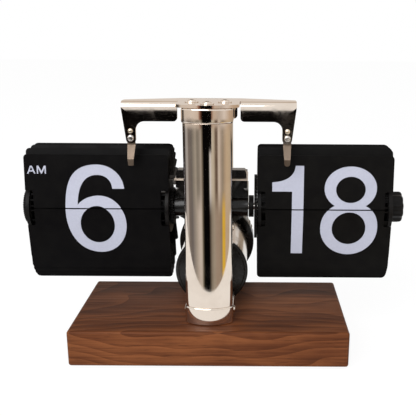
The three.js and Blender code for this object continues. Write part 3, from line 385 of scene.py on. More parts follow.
def makeHairlines():
    tree, start, end = newGroup(
        "hairlines", {"Place": (0, 0, 0), "Spacing": 0.3, "Cover": 0.5}, ["Mask"])
    streak = noise(start["Place"], divide(1.0, start["Spacing"]), 3, 0.7)
    low = minus(0.75, times(start["Cover"], 0.35))
    high = plus(low, 0.12)
    setInputs(end, {"Mask": remap(streak, low, high, kind="SMOOTHSTEP")})
    return tree


def makeMouldTexture():
    tree, start, end = newGroup(
        "mouldTexture", {"Place": (0, 0, 0), "Grain": 0.25, "Wave": 6.0, "Share": 0.5}, ["Height", "Cloud"])
    fine = noise(start["Place"], divide(1.0, start["Grain"]), 2)
    broad = noise(start["Place"], divide(1.0, start["Wave"]), 2)
    blend = addNode(tree, "ShaderNodeMix", {0: start["Share"], 2: fine, 3: broad}, data_type="FLOAT")
    setInputs(end, {"Height": blend.outputs[0], "Cloud": broad})
    return tree


def makeDust():
    tree, start, end = newGroup("dust", {"Place": (0, 0, 0), "Size": 0.5, "Cover": 0.3}, ["Mask"])
    cells = addNode(tree, "ShaderNodeTexVoronoi", {
        "Vector": start["Place"], "Scale": divide(0.3, start["Size"])})
    speck = remap(cells.outputs["Distance"], 0.05, 0.16, 1.0, 0.0)
    limit = minus(0.8, times(start["Cover"], 0.5))
    patch = remap(noise(start["Place"], 0.06), limit, plus(limit, 0.1))
    setInputs(end, {"Mask": times(speck, patch)})
    return tree


fingerMarks = makeFingerMarks()
hairlines = makeHairlines()
mouldTexture = makeMouldTexture()
dust = makeDust()


# A finish starts as a plain material, with its place in millimetres at hand
def newFinish(name, values):
    material = bpy.data.materials.new(name)
    material.use_nodes = True
    finishes[name] = material
    tree = material.node_tree
    shader = tree.nodes["Principled BSDF"]
    setInputs(shader, values)
    return tree, shader, millimetres(tree)


# Walnut: the log lies along X, so its rings are drawn in Y and Z and bent slowly along the length.
# The wave texture at scale 1 repeats after the wave period
walnutLook = {
    "heart": (4, 46, -30),
    "ring": 4.6,
    "wavePeriod": 0.314,
    "sway": (0.011, 0.022, 0.022),
    "swayReach": (0, 34, 34),
    "fibre": (0.018, 1.0, 1.0),
    "figure": (0.012, 0.055, 0.055),
    "figureShift": (3.1, 0.4, 0),
    "pores": (0.11, 2.6, 2.6),
    "light": rgb(131, 79, 47),
    "middle": rgb(90, 50, 29),
    "dark": rgb(61, 33, 19),
    "line": rgb(42, 24, 18),
}


def makeWalnut():
    look = walnutLook
    tree, shader, place = newFinish("walnut", {"Specular IOR Level": 0.07})
    centred = addNode(tree, "ShaderNodeVectorMath", {0: place, 1: look["heart"]}, operation="SUBTRACT")
    along = centred.outputs["Vector"]
    sway = noise(stretched(along, look["sway"]), 1.0, 2, output="Color")
    swayed = addNode(tree, "ShaderNodeVectorMath", {0: sway, 1: look["swayReach"], 2: along},
                     operation="MULTIPLY_ADD")
    rings = addNode(tree, "ShaderNodeTexWave", {
        "Vector": swayed.outputs["Vector"], "Scale": look["wavePeriod"] / look["ring"], "Distortion": 1.6,
        "Detail": 3.0, "Detail Scale": 0.4}, wave_type="RINGS", rings_direction="X", wave_profile="SAW")
    fibre = noise(stretched(place, look["fibre"]), 1.1, 4, 0.6)
    figure = noise(stretched(place, look["figure"], look["figureShift"]), 1.0, 3, 0.55, 0.6)
    tone = plus(times(rings.outputs["Fac"], 0.22), remap(figure, 0.3, 0.7, 0.12, 0.5))
    tone = plus(tone, times(remap(fibre, 0.3, 0.7), 0.24))
    colour = ramp(tone, [
        (0.0, look["line"]), (0.2, look["dark"]), (0.46, look["middle"]), (0.8, look["light"])])
    pore = remap(noise(stretched(place, look["pores"]), 1.0, 2), 0.62, 0.7)
    colour = mixColour(times(pore, 0.45), colour, look["line"])
    dress(shader, colour, remap(fibre, 0.3, 0.7, 0.5, 0.38), minus(times(fibre, 0.5), pore), 0.35, 0.0001)


makeWalnut()

feltLook = {"dark": rgb(22, 21, 20), "pale": rgb(48, 45, 43), "patch": rgb(30, 27, 24)}


def makeFelt():
    look = feltLook
    tree, shader, place = newFinish("felt", {
        "Specular IOR Level": 0.1, "Sheen Weight": 0.4, "Sheen Roughness": 0.5})
    fuzz = noise(place, 2.2, 5, 0.7)
    colour = mixColour(remap(fuzz, 0.3, 0.7), look["dark"], look["pale"])
    colour = mixColour(times(noise(place, 0.12), 0.3), colour, look["patch"])
    dress(shader, colour, 0.95, fuzz, 0.6, 0.0003)


makeFelt()

# Metals: each has its tint, how clean and how smudged it is, and lines that run along one direction
metalLooks = {
    "nickel": {"base": (0.77, 0.675, 0.585), "worn": (0.67, 0.57, 0.48), "clean": 0.05, "smudged": 0.1,
               "lines": (1.0, 1.0, 1.0), "spacing": 0.6, "cover": 0.12, "lineDepth": 0.02},
    "brushedSteel": {"base": (0.56, 0.54, 0.51), "worn": (0.44, 0.42, 0.4), "clean": 0.24, "smudged": 0.36,
                     "lines": (0.03, 1.4, 1.4), "spacing": 0.5, "cover": 1.0, "lineDepth": 0.18},
    "paleSteel": {"base": (0.80, 0.68, 0.57), "worn": (0.6, 0.5, 0.42), "clean": 0.34, "smudged": 0.46,
                  "lines": (0.03, 1.4, 1.4), "spacing": 0.5, "cover": 1.0, "lineDepth": 0.1, "metallic": 0.25},
    "turnedSteel": {"base": (0.62, 0.59, 0.56), "worn": (0.46, 0.43, 0.4), "clean": 0.16, "smudged": 0.3,
                    "lines": (1.6, 1.6, 1.6), "spacing": 0.5, "cover": 0.6, "lineDepth": 0.06},
    "springBronze": {"base": (0.17, 0.13, 0.1), "worn": (0.11, 0.085, 0.065), "clean": 0.42, "smudged": 0.55,
                     "lines": (3.2, 0.2, 0.2), "spacing": 0.5, "cover": 0.8, "lineDepth": 0.12},
    "paleBrass": {"base": (0.74, 0.65, 0.52), "worn": (0.56, 0.46, 0.34), "clean": 0.2, "smudged": 0.36,
                  "lines": (2.2, 2.2, 2.2), "spacing": 0.5, "cover": 0.5, "lineDepth": 0.06},
    # The battery tube's nickel is painted darker and browner than plain nickel: a painted reflection of the walnut
    # base that it mirrors
    "nickelWithPaintedWoodReflection": {"base": (0.50, 0.41, 0.33), "worn": (0.38, 0.29, 0.22), "clean": 0.12, "smudged": 0.24,
                   "lines": (1.0, 1.0, 1.0), "spacing": 0.6, "cover": 0.2, "lineDepth": 0.03},
    "turnedBrass": {"base": (0.71, 0.5, 0.24), "worn": (0.5, 0.33, 0.15), "clean": 0.2, "smudged": 0.36,
                    "lines": (2.2, 2.2, 2.2), "spacing": 0.5, "cover": 0.5, "lineDepth": 0.06},
}


def makeMetal(name, look):
    tree, shader, place = newFinish(name, {"Metallic": look.get("metallic", 1.0)})
    marks = useGroup(fingerMarks, Place=place, Clean=look["clean"], Smudged=look["smudged"])
    lines = useGroup(hairlines, Place=stretched(place, look["lines"]),
                     Spacing=look["spacing"], Cover=look["cover"])["Mask"]
    tarnish = remap(noise(place, 0.09, 4, 0.6), 0.42, 0.72)
    base, worn = (*look["base"], 1), (*look["worn"], 1)
    colour = mixColour(times(tarnish, 0.5), base, worn)
    colour = mixColour(times(lines, 0.35), colour, worn)
    dress(shader, colour, marks["Roughness"], lines, look["lineDepth"], 0.00003)


for metalName, metalLook in metalLooks.items():
    makeMetal(metalName, metalLook)

# Black plastics: a moulding's grain, a slow wave under the gloss, and a little dust
plasticLooks = {
    "glossMoulding": {"colour": rgb(17, 16, 16), "pale": rgb(27, 25, 24), "clean": 0.14, "smudged": 0.28,
                      "specular": 0.3, "grain": 0.5, "share": 0.85, "depth": 0.12, "dust": 0.15},
    "satinMoulding": {"colour": rgb(15, 14, 14), "pale": rgb(23, 21, 20), "clean": 0.36, "smudged": 0.48,
                      "specular": 0.09, "grain": 0.22, "share": 0.35, "depth": 0.3, "dust": 0.3},
    # The hour and minute leaves are one black sheet: the right drum's copy is painted lighter and warmer than the
    # left one, lit and shaded copies of one material
    "leafSheetShadedLeft": {"colour": rgb(8, 7, 8), "pale": rgb(12, 11, 11), "clean": 0.36, "smudged": 0.46,
                      "specular": 0.045, "grain": 0.16, "share": 0.3, "depth": 0.12, "dust": 0.12},
    "leafSheetLitRight": {"colour": rgb(11, 10, 10), "pale": rgb(15, 14, 13), "clean": 0.36, "smudged": 0.46,
                       "specular": 0.06, "grain": 0.16, "share": 0.3, "depth": 0.12, "dust": 0.12},
}
markSize = 16.0
dustTone = rgb(96, 92, 88)


def makePlastic(name, look):
    tree, shader, place = newFinish(name, {"Specular IOR Level": look["specular"]})
    marks = useGroup(fingerMarks, Place=place, Size=markSize, Clean=look["clean"],
                     Smudged=look["smudged"])
    texture = useGroup(mouldTexture, Place=place, Grain=look["grain"], Share=look["share"])
    specks = useGroup(dust, Place=place, Cover=look["dust"])["Mask"]
    colour = mixColour(remap(texture["Cloud"], 0.35, 0.65), look["colour"], look["pale"])
    colour = mixColour(times(specks, 0.25), colour, dustTone)
    dress(shader, colour, marks["Roughness"], texture["Height"], look["depth"], 0.00004)


for plasticName, plasticLook in plasticLooks.items():
    makePlastic(plasticName, plasticLook)

# Screen-printed film: pale lilac grey, its ink a little mottled
printLook = {"ink": rgb(175, 177, 192), "mottled": rgb(181, 183, 198), "broad": rgb(171, 173, 187)}


def makeNumeralPrint():
    look = printLook
    tree, shader, place = newFinish("numeralPrint", {"Specular IOR Level": 0.2})
    mottle = noise(place, 0.9, 4, 0.6)
    broad = noise(place, 0.05, 2)
    colour = mixColour(remap(mottle, 0.35, 0.65), look["ink"], look["mottled"])
    colour = mixColour(remap(broad, 0.35, 0.65, 0.0, 0.4), colour, look["broad"])
    dress(shader, colour, remap(mottle, 0.3, 0.7, 0.5, 0.62), noise(place, 4.5, 1), 0.1, 0.00003)


makeNumeralPrint()

# The cell's jacket: plain bands along Y, the ends bare steel, and a narrow blend between them
cellLook = {"front": 7.4, "copper": 15.0, "rear": 62.6, "blend": 0.1, "jacket": rgb(58, 60, 64),
            "mottled": rgb(74, 76, 80), "band": rgb(150, 98, 62), "steel": rgb(170, 168, 164)}


def makeCellJacket():
    look, blend = cellLook, cellLook["blend"]
    tree, shader, place = newFinish("cellJacket", {"Specular IOR Level": 0.5})
    reach = addNode(tree, "ShaderNodeSeparateXYZ", {"Vector": place}).outputs["Y"]
    bare = largest(remap(reach, look["front"], look["front"] - blend),
                    remap(reach, look["rear"], look["rear"] + blend))
    band = remap(reach, look["copper"], look["copper"] - blend)
    mottle = noise(place, 0.5, 4)
    colour = mixColour(remap(mottle, 0.3, 0.7, 0, 0.3), look["jacket"], look["mottled"])
    colour = mixColour(bare, mixColour(band, colour, look["band"]), look["steel"])
    marks = useGroup(fingerMarks, Place=place, Clean=0.22, Smudged=0.36)
    setInputs(shader, {"Metallic": largest(bare, times(band, 0.7))})
    dress(shader, colour, marks["Roughness"], mottle, 0.05, 0.00005)


makeCellJacket()
print("finishes made")

# Base

base = {"size": (145, 71, 19.5), "bottom": 1, "edge": 1.5, "edgeSteps": 4}


def makeBase():
    bm = bmesh.new()
    bmesh.ops.create_cube(bm, size=1)
    bmesh.ops.scale(bm, vec=base["size"], verts=bm.verts)
    roundEdges(bm, base["edge"], base["edgeSteps"])
    move(bm, (0, 0, base["bottom"] + base["size"][2] / 2))
    finishPiece(bm, "wood_base", "walnut", "stand", "walnutBlock")


makeBase()
print("base made")

# Column: foot, tube and cap share one section with a crowned front

column = {
    "halfWidth": 12.1,
    "front": -27.7,
    "back": -3,
    "crownRadius": 21,
    "crownSteps": 18,
    "frontCorner": 3,
    "backCorner": 2,
    "cornerSteps": 6,
    "edgeSteps": 4,
    "parts": {
        "column_foot": {"grow": 0.5, "bottom": 20.5, "top": 30.1, "edge": 0.7},
        "column_tube": {"grow": 0, "bottom": 30.1, "top": 125.5, "edge": 0.12},
        "column_cap": {"grow": 0.6, "bottom": 125.5, "top": 133, "edge": 1.0},
    },
}


def crownedPath(half, front, crownRadius, corner, steps):
    share = math.asin((half - corner) / (crownRadius - corner))
    crown = math.degrees(share)
    shoulder = front + crownRadius - (crownRadius - corner) * math.cos(share)
    rightHalf = [(0, front + crownRadius, crown, steps), (half - corner, shoulder, 90 - crown, steps // 2)]
    leftHalf = [(corner - half, shoulder, 90 - crown, steps // 2), (0, front + crownRadius, crown, steps)]
    return shoulder, rightHalf, leftHalf


def makeColumnPart(node, part):
    grow = part["grow"]
    half, back, corner = column["halfWidth"] + grow, column["back"] + grow, column["backCorner"]
    front, steps = column["front"] - grow, column["cornerSteps"]
    shoulder, rightHalf, leftHalf = crownedPath(
        half, front, column["crownRadius"] + grow, column["frontCorner"] + grow, column["crownSteps"])
    bm = bmesh.new()
    drawOutline(bm, (0, front), [
        *rightHalf,
        (half, back - corner),
        (half - corner, back - corner, 90, steps),
        (corner - half, back),
        (corner - half, back - corner, 90, steps),
        (-half, shoulder),
        *leftHalf,
    ])
    fillFace(bm)
    pull(bm, part["top"] - part["bottom"])
    move(bm, (0, 0, part["bottom"]))
    roundEdges(bm, part["edge"], column["edgeSteps"])
    finishPiece(bm, node, "nickel", "stand")


for columnNode, columnPart in column["parts"].items():
    makeColumnPart(columnNode, columnPart)
print("column made")

# Top plate: drawn flat, then folded down in front on both sides and behind

topPlate = {
    "top": 134.5,
    "thickness": 1.5,
    "half": 15.7,
    "front": -28.2,
    "crownRadius": 25,
    "crownSteps": 14,
    "frontCorner": 4,
    "slit": 0.3,
    "foldLine": -7,
    "foldRadius": 3,
    "foldSteps": 8,
    "flange": 7,
    "flangeCorner": 2,
    "legInner": 37.3,
    "legOuter": 42.3,
    "leg": 18.2,
    "legFillet": 4.6,
    "legCorner": 2.1,
    "armEnd": 44.3,
    "armBack": 0,
    "armCorner": 2,
    "armTurn": 72,
    "backLine": 9,
    "backStep": (1, 0.4),
    "tabHalf": 14,
    "tab": 8,
    "tabCorner": 2,
    "tabMargin": 0.5,
    "filletSteps": 8,
    "cornerSteps": 6,
    "edge": 0.22,
}


# Folds what lies beyond a line across the sheet, like a press brake: side is 1 to the back and -1 to the front
def foldSheet(bm, line, side, degrees, radius, steps, level=0, moves=lambda v: True):
    chord = 2 * radius * math.sin(math.radians(abs(degrees)) / (2 * steps))
    lines = [line + side * chord * k for k in range(steps + 1)]
    for y in lines:
        cutPlane(bm, y, 1)
    beyond = [[v for v in bm.verts if side * (v.co.y - y) > fineDistance and moves(v)] for y in lines]
    for k in range(steps, -1, -1):
        share = degrees / steps if 0 < k < steps else degrees / (2 * steps)
        matrix = Matrix.Rotation(math.radians(-side * share), 3, "X")
        bmesh.ops.rotate(bm, cent=(0, lines[k], level), matrix=matrix, verts=beyond[k])


# Turns a sheet over where its largest face looks against the given direction
def faceSheet(bm, direction):
    faceOutward(bm)
    if max(bm.faces, key=lambda face: face.calc_area()).normal.dot(direction) < 0:
        bmesh.ops.reverse_faces(bm, faces=bm.faces)


def makeTopPlate():
    p = topPlate
    arc = math.radians(90) * p["foldRadius"]
    _, rightHalf, _ = crownedPath(p["half"], p["front"], p["crownRadius"], p["frontCorner"], p["crownSteps"])
    flangeEnd = p["foldLine"] - arc - p["flange"]
    legEnd = p["foldLine"] - arc - p["leg"]
    tabEnd = p["backLine"] + arc + p["tab"]
    slitEdge = p["half"] + p["slit"]
    corner, fillet, tip, armCorner = p["flangeCorner"], p["legFillet"], p["legCorner"], p["armCorner"]
    stepAcross, stepBack = p["backStep"]
    large, small = p["filletSteps"], p["cornerSteps"]
    bm = bmesh.new()
    drawOutline(bm, (0, p["front"]), [
        *rightHalf,
        (p["half"], p["foldLine"]),
        (slitEdge, p["foldLine"]),
        (slitEdge, flangeEnd + corner),
        (slitEdge + corner, flangeEnd + corner, 90, large),
        (p["legInner"] - fillet, flangeEnd),
        (p["legInner"] - fillet, flangeEnd - fillet, -90, large),
        (p["legInner"], legEnd + tip),
        (p["legInner"] + tip, legEnd + tip, 90, large),
        (p["legOuter"] - tip, legEnd),
        (p["legOuter"] - tip, legEnd + tip, 90, large),
        (p["armEnd"], p["foldLine"] - arc),
        (p["armEnd"], p["armBack"] - armCorner),
        (p["armEnd"] - armCorner, p["armBack"] - armCorner, p["armTurn"], small),
        (p["half"] + stepAcross, p["backLine"] - stepBack),
        (p["half"], p["backLine"]),
        (p["tabHalf"], p["backLine"]),
        (p["tabHalf"], tabEnd - p["tabCorner"]),
        (p["tabHalf"] - p["tabCorner"], tabEnd - p["tabCorner"], 90, small),
        (0, tabEnd),
    ])
    fillFace(bm)
    bmesh.ops.mirror(bm, geom=everything(bm), axis="X", merge_dist=weldDistance)
    move(bm, (0, 0, p["top"]))
    foldSheet(bm, p["foldLine"], -1, 90, p["foldRadius"], p["foldSteps"], p["top"],
              lambda v: abs(v.co.x) > p["half"] + p["slit"] / 2)
    foldSheet(bm, p["backLine"], 1, 90, p["foldRadius"], p["foldSteps"], p["top"],
              lambda v: abs(v.co.x) < p["tabHalf"] + p["tabMargin"])
    weld(bm)
    faceSheet(bm, Vector((0, 0, 1)))
    bmesh.ops.triangulate(bm, faces=[f for f in bm.faces if len(f.verts) > 4])
    finishSheet(bm, "top_plate", "nickel", p["thickness"], p["edge"])


makeTopPlate()
print("top plate made")

# Screws: a turned dome, most with a hexagon socket and some on a washer.
# They are made head up, and each is laid on its seat at x, y and z after a turn round its kind's axis

sideScrew = {"finish": "nickel", "axis": "Y", "head": 1.8, "dome": 1.1, "washer": 0, "washerHeight": 0,
             "socket": 0.9, "depth": 0.6, "shank": 1.1, "length": 4}
screwKinds = {
    "plate_screw": {"finish": "nickel", "axis": "Z", "head": 2.3, "dome": 1, "washer": 3.5,
                    "washerHeight": 0.5, "socket": 1.15, "depth": 0.8, "shank": 1.4, "length": 8},
    "foot_screw": sideScrew,
    "column_screw": sideScrew,
    "finger_screw": {"finish": "turnedSteel", "axis": "X", "head": 1.7, "dome": 0.9, "washer": 0,
                     "washerHeight": 0, "socket": 0.8, "depth": 0.5, "shank": 0.8, "length": 3.2},
    "finger_rivet": {"finish": "paleBrass", "axis": "X", "head": 1.3, "dome": 0.6, "washer": 0,
                     "washerHeight": 0, "socket": 0, "depth": 0, "shank": 0.7, "length": 2.6},
}
screws = {
    "plate_screw_left": ((-8.3, -12.2, 134.5), 0),
    "plate_screw_right": ((8.3, -12.2, 134.5), 0),
    "plate_screw_front": ((0, -21.2, 134.5), 0),
    "foot_screw_left": ((-12.6, -17, 25.5), -90),
    "foot_screw_right": ((12.6, -17, 25.5), 90),
    "column_screw_left": ((-12.1, -17, 71.1), -90),
    "column_screw_right": ((12.1, -17, 71.1), 90),
    "finger_screw_left": ((-39.9, -10, 115.9), 90),
    "finger_screw_right": ((39.9, -10, 115.9), 90),
    "finger_rivet_left": ((-39.9, -10, 119.6), 90),
    "finger_rivet_right": ((39.9, -10, 119.6), 90),
}
screwShape = {"domeSteps": 6, "steps": 36, "edge": 0.12, "mouth": 1.25, "sideCuts": 5}


def makeScrew(node, place, turn):
    size = screwKinds[node.rsplit("_", 1)[0]]
    seat, head, dome, steps = size["washerHeight"], size["head"], size["dome"], screwShape["domeSteps"]
    bm = bmesh.new()
    profile = [(0, -size["length"]), (size["shank"], -size["length"]), (size["shank"], 0)]
    if size["washer"]:
        profile += [(size["washer"], 0), (size["washer"], seat)]
    profile += [(head, seat)]
    last = math.acos(size["socket"] * screwShape["mouth"] / head)
    for step in range(1, steps + 1):
        angle = last * step / steps
        profile.append((head * math.cos(angle), seat + dome * math.sin(angle)))
    turned(bm, profile, "Z", steps=screwShape["steps"])
    roundEdges(bm, screwShape["edge"])
    if size["socket"]:
        rim = openEdges(bm.edges)
        top = max(v.co.z for v in bm.verts)
        hexagon = bmesh.ops.create_circle(bm, segments=6, radius=size["socket"])["verts"]
        move(bm, (0, 0, top), verts=hexagon)
        bmesh.ops.subdivide_edges(bm, edges=edgesAt(hexagon), cuts=screwShape["sideCuts"])
        bmesh.ops.bridge_loops(bm, edges=rim + [e for e in bm.edges if not e.link_faces])
        walls = bmesh.ops.extrude_edge_only(bm, edges=openEdges(bm.edges))["geom"]
        move(bm, (0, 0, -size["depth"]), verts=vertsOf(walls))
        bmesh.ops.contextual_create(bm, geom=openEdges(g for g in walls if isinstance(g, bmesh.types.BMEdge)))
    move(bm, place, turn, size["axis"])
    finishPiece(bm, node, size["finish"], "stand")


for screwNode, (screwPlace, screwTurn) in screws.items():
    makeScrew(screwNode, screwPlace, screwTurn)
print("screws made")

# Leaf springs, drawn flat from the top down and folded back to the leaf. A fold starts a little before its corner

finger = {
    "fromAxis": 39.9,
    "top": 121.9,
    "face": -8.5,
    "straight": 9.8,
    "slope": 7.92,
    "tip": 3.31,
    "lean": 33.5,
    "leanStart": 0.4,
    "return": 38.7,
    "returnStart": 0.8,
    "foldRadius": 1.6,
    "foldSteps": 5,
    "topWidth": 4.2,
    "topCorner": 0.6,
    "topSteps": 3,
    "tipWidth": 2.8,
    "tipSteps": 6,
    "thickness": 0.4,
    "edge": 0.06,
}


def makeFinger(node, side, tipRadius):
    f = finger
    bm = bmesh.new()
    length = f["straight"] + f["slope"] + f["tip"]
    half, tip = f["topWidth"] / 2, f["tipWidth"] / 2
    drawOutline(bm, (half, 0), [(-half, 0), (-half, -f["straight"]), (-tip, -length), (tip, -length),
                                (half, -f["straight"])])
    fillFace(bm)
    roundCorners(bm, [(-tip, -length), (tip, -length)], tipRadius, f["tipSteps"])
    roundCorners(bm, [(half, 0), (-half, 0)], f["topCorner"], f["topSteps"])
    foldSheet(bm, -f["straight"] - f["slope"] + f["returnStart"], -1, f["return"], f["foldRadius"],
              f["foldSteps"])
    foldSheet(bm, -f["straight"] + f["leanStart"], -1, -f["lean"], f["foldRadius"], f["foldSteps"])
    move(bm, (side * f["fromAxis"], f["face"], f["top"]), 90)
    faceSheet(bm, Vector((0, -1, 0)))
    finishSheet(bm, node, "springBronze", f["thickness"], f["edge"])


makeFinger("finger_left", -1, 0.5)
makeFinger("finger_right", 1, 1.3)
print("fingers made")

# Leaves

axis = (7.1018, 76)
splitZ = 77.5
leaf = {
    "pivotRadius": 13,
    "length": 27.6,
    "tail": 0.95,
    "thickness": 0.3,
    "corner": 2,
    "cornerSteps": 6,
    "notchWidth": 4.2,
    "notchHeight": 8.4,
    "notchCorner": 0.8,
    "notchSteps": 3,
    "lugEnd": 1.6,
    "lugHalf": 0.4,
    "upperAngle": 11.8748,
    "lowerAngle": 1.4325,
    "frontLean": 5,
    "edge": 0.06,
}
# How the leaves of a pack lie: the turn of the pivot round the axis, and the lean of the leaf to the back
leafLie = [(26, 13), (41, 28), (90, 57), (180, 112), (225, 178), (270, 184), (290, 180), (315, 176.5),
           (336.5, 175.5)]
# Across: where a drum's leaves end, the faces of its two discs with the way they look, and its sleeve's ends.
# Its pack is the number of leaves besides the front pair
drums = {
    # The hour drum's leaves take the darker painted copy of the sheet and the minute drum's the lighter one:
    # painted shade and painted light
    "hour": {"left": -97.8, "right": -22.1, "pack": 22, "finish": "leafSheetShadedLeft",
             "inner": (-24.1, -1), "outer": (-95.8, 1), "sleeve": (-95.5, -24.4)},
    "minute": {"left": 25, "right": 96.6, "pack": 58, "finish": "leafSheetLitRight",
               "inner": (27, 1), "outer": (94.6, -1), "sleeve": (27.3, 94.3)},
}


def leafSheet(drum):
    left, right = drum["left"], drum["right"]
    notch, high, lug, end = leaf["notchWidth"], leaf["notchHeight"], leaf["lugHalf"], leaf["lugEnd"]
    corner, tail, length, inside = leaf["corner"], leaf["tail"], leaf["length"], leaf["notchCorner"]
    large, small = leaf["cornerSteps"], leaf["notchSteps"]
    bm = bmesh.new()
    drawOutline(bm, (left + notch, -tail), [
        (right - notch, -tail),
        (right - notch, -lug),
        (right - end, -lug),
        (right - end, lug),
        (right - notch, lug),
        (right - notch, high - inside),
        (right - notch + inside, high - inside, -90, small),
        (right, high),
        (right, length - corner),
        (right - corner, length - corner, 90, large),
        (left + corner, length),
        (left + corner, length - corner, 90, large),
        (left, high),
        (left + notch - inside, high),
        (left + notch - inside, high - inside, -90, small),
        (left + notch, lug),
        (left + end, lug),
        (left + end, -lug),
        (left + notch, -lug),
    ])
    fillFace(bm)
    pull(bm, leaf["thickness"])
    move(bm, (0, 0, -leaf["thickness"] / 2))
    return bm


def leafPlace(angle):
    turn = math.radians(angle)
    return (0, axis[0] - leaf["pivotRadius"] * math.cos(turn), axis[1] + leaf["pivotRadius"] * math.sin(turn))


def makeLeaf(node, drum, angle, lean, body):
    bm = leafSheet(drum)
    roundEdges(bm, leaf["edge"])
    move(bm, leafPlace(angle), 90 - lean)
    finishPiece(bm, node, drum["finish"], body)


def packLean(angle):
    for (turnBefore, leanBefore), (turnAfter, leanAfter) in zip(leafLie, leafLie[1:]):
        if angle <= turnAfter:
            break
    return leanBefore + (angle - turnBefore) / (turnAfter - turnBefore) * (leanAfter - leanBefore)


def makePack(node, drum):
    first, last, count = leafLie[0][0], leafLie[-1][0], drum["pack"]
    bm = bmesh.new()
    for i in range(count):
        angle = first + i * (last - first) / (count - 1)
        one = leafSheet(drum)
        move(one, leafPlace(angle), 90 - packLean(angle))
        add(bm, one)
    finishPiece(bm, node, drum["finish"], "stand")


for key, drum in drums.items():
    makeLeaf(key + "_leaf_falling", drum, leaf["upperAngle"], leaf["frontLean"], key + "_falling")
    makeLeaf(key + "_leaf_lower", drum, leaf["lowerAngle"], 180 - leaf["frontLean"], "stand")
    makePack(key + "_leaf_pack", drum)
print("leaves made")

# Numerals and letters: smooth outlines in X and Z from the split line, cut at the split and laid on the leaves.
# A knot is (x, z, the handle before it, the handle after it); a plain (x, z) is a sharp corner

film = {"thickness": 0.1, "seat": 0.02, "splitHalf": 0.28, "curveSteps": 14, "flat": 0.05}
ellipseHandle = 0.5523
sixX = -60.8


def ellipseKnots(x, z, halfWidth, halfHeight):
    w, h = halfWidth * ellipseHandle, halfHeight * ellipseHandle
    return [
        (x + halfWidth, z, (x + halfWidth, z - h), (x + halfWidth, z + h)),
        (x, z + halfHeight, (x + w, z + halfHeight), (x - w, z + halfHeight)),
        (x - halfWidth, z, (x - halfWidth, z + h), (x - halfWidth, z - h)),
        (x, z - halfHeight, (x - w, z - halfHeight), (x + w, z - halfHeight)),
    ]


numerals = {
    "six": [
        [
            (sixX + 15.4, 10.7, None, (sixX + 14.9, 18)),
            (sixX + 1.2, 23.5, (sixX + 8.7, 23.5), (sixX - 13.1, 23.5)),
            (sixX - 16, -2.2, (sixX - 16, 13.3), (sixX - 16, -15.7)),
            (sixX + 1.6, -24.8, (sixX - 9.2, -24.8), (sixX + 10.1, -24.8)),
            (sixX + 15.9, -8.8, (sixX + 15.9, -17.4), (sixX + 15.9, 0.8)),
            (sixX + 1.9, 7, (sixX + 9.1, 7), (sixX - 2.9, 7)),
            (sixX - 9.5, 1.9, (sixX - 7.3, 4.9), (sixX - 9, 12.4)),
            (sixX + 1.2, 18, (sixX - 5.4, 18), (sixX + 6.2, 18)),
            (sixX + 9.1, 10.7, (sixX + 8.9, 14.8), None),
        ],
        ellipseKnots(sixX + 0.5, -8.9, 9.1, 10.3),
    ],
    "one": [
        [
            (49.3, -25), (49.3, 23.4), (44.9, 23.4, None, (44.4, 17.7)),
            (32.7, 14.6, (39.9, 15), None), (32.7, 9.7), (43.2, 9.7), (43.2, -25),
        ],
    ],
    "eight": [
        [
            (73.9, -25.4, (65.5, -25.4), (82.3, -25.4)),
            (89.1, -10.4, (89.1, -18.8), (89.1, -3.6)),
            (82.3, 2.2, (86.6, 0), (85.6, 4.1)),
            (87.9, 11.5, (87.9, 7.6), (87.9, 18)),
            (74.1, 23.2, (81.8, 23.2), (66.4, 23.2)),
            (60.3, 11.5, (60.3, 18), (60.3, 7.6)),
            (65.9, 2.2, (62.6, 4.1), (61.6, 0)),
            (58.6, -10.4, (58.6, -3.6), (58.6, -18.8)),
        ],
        ellipseKnots(74.2, 10.8, 7.8, 7),
        ellipseKnots(73.8, -10.3, 9, 9.1),
    ],
    "a": [
        [(-96.2, 18.5), (-95.4, 18.5), (-95, 19.6), (-92.9, 19.6), (-92.5, 18.5), (-91.7, 18.5),
         (-93.5, 22.7), (-94.4, 22.7)],
        [(-94.72, 20.3), (-93.18, 20.3), (-93.95, 22.1)],
    ],
    "m": [
        [(-91, 18.5), (-90.3, 18.5), (-90.3, 21.5), (-88.85, 18.5), (-88.35, 18.5), (-86.9, 21.5),
         (-86.9, 18.5), (-86.2, 18.5), (-86.2, 22.7), (-87.2, 22.7), (-88.6, 19.8), (-90, 22.7), (-91, 22.7)],
    ],
}


# A flat shape from knots, in X and Y
def knotFace(outlines):
    data = bpy.data.curves.new("numeral", "CURVE")
    data.dimensions = "2D"
    data.fill_mode = "BOTH"
    data.resolution_u = film["curveSteps"]
    for knots in outlines:
        spline = data.splines.new("BEZIER")
        spline.bezier_points.add(len(knots) - 1)
        spline.use_cyclic_u = True
        for point, knot in zip(spline.bezier_points, knots):
            before, after = knot[2:] or (None, None)
            point.handle_left_type = point.handle_right_type = "FREE"
            point.co = (*knot[:2], 0)
            point.handle_left = (*(before or knot[:2]), 0)
            point.handle_right = (*(after or knot[:2]), 0)
    shape = bpy.data.objects.new("numeral", data)
    mesh = bpy.data.meshes.new_from_object(shape)
    bm = bmesh.new()
    bm.from_mesh(mesh)
    bpy.data.objects.remove(shape)
    bpy.data.curves.remove(data)
    bpy.data.meshes.remove(mesh)
    weld(bm)
    return bm


# Keeps the part above or below the split and lays it on the upper or the lower leaf.
# It is drawn in X and Y and then stood up, so that its thickness faces the viewer
def makeFilm(node, name, key, body):
    bm = knotFace(numerals[key])
    side, angle = (-1, leaf["lowerAngle"]) if body == "stand" else (1, leaf["upperAngle"])
    cutPlane(bm, side * film["splitHalf"], -side, clear_outer=True)
    bmesh.ops.dissolve_limit(bm, angle_limit=math.radians(film["flat"]), verts=bm.verts, edges=bm.edges)
    pull(bm, film["thickness"])
    pivot = leafPlace(angle)
    move(bm, (0, -leaf["thickness"] / 2 - film["seat"], splitZ - pivot[2]), 90)
    move(bm, pivot, -leaf["frontLean"] * side)
    finishPiece(bm, node, "numeralPrint", body, name)


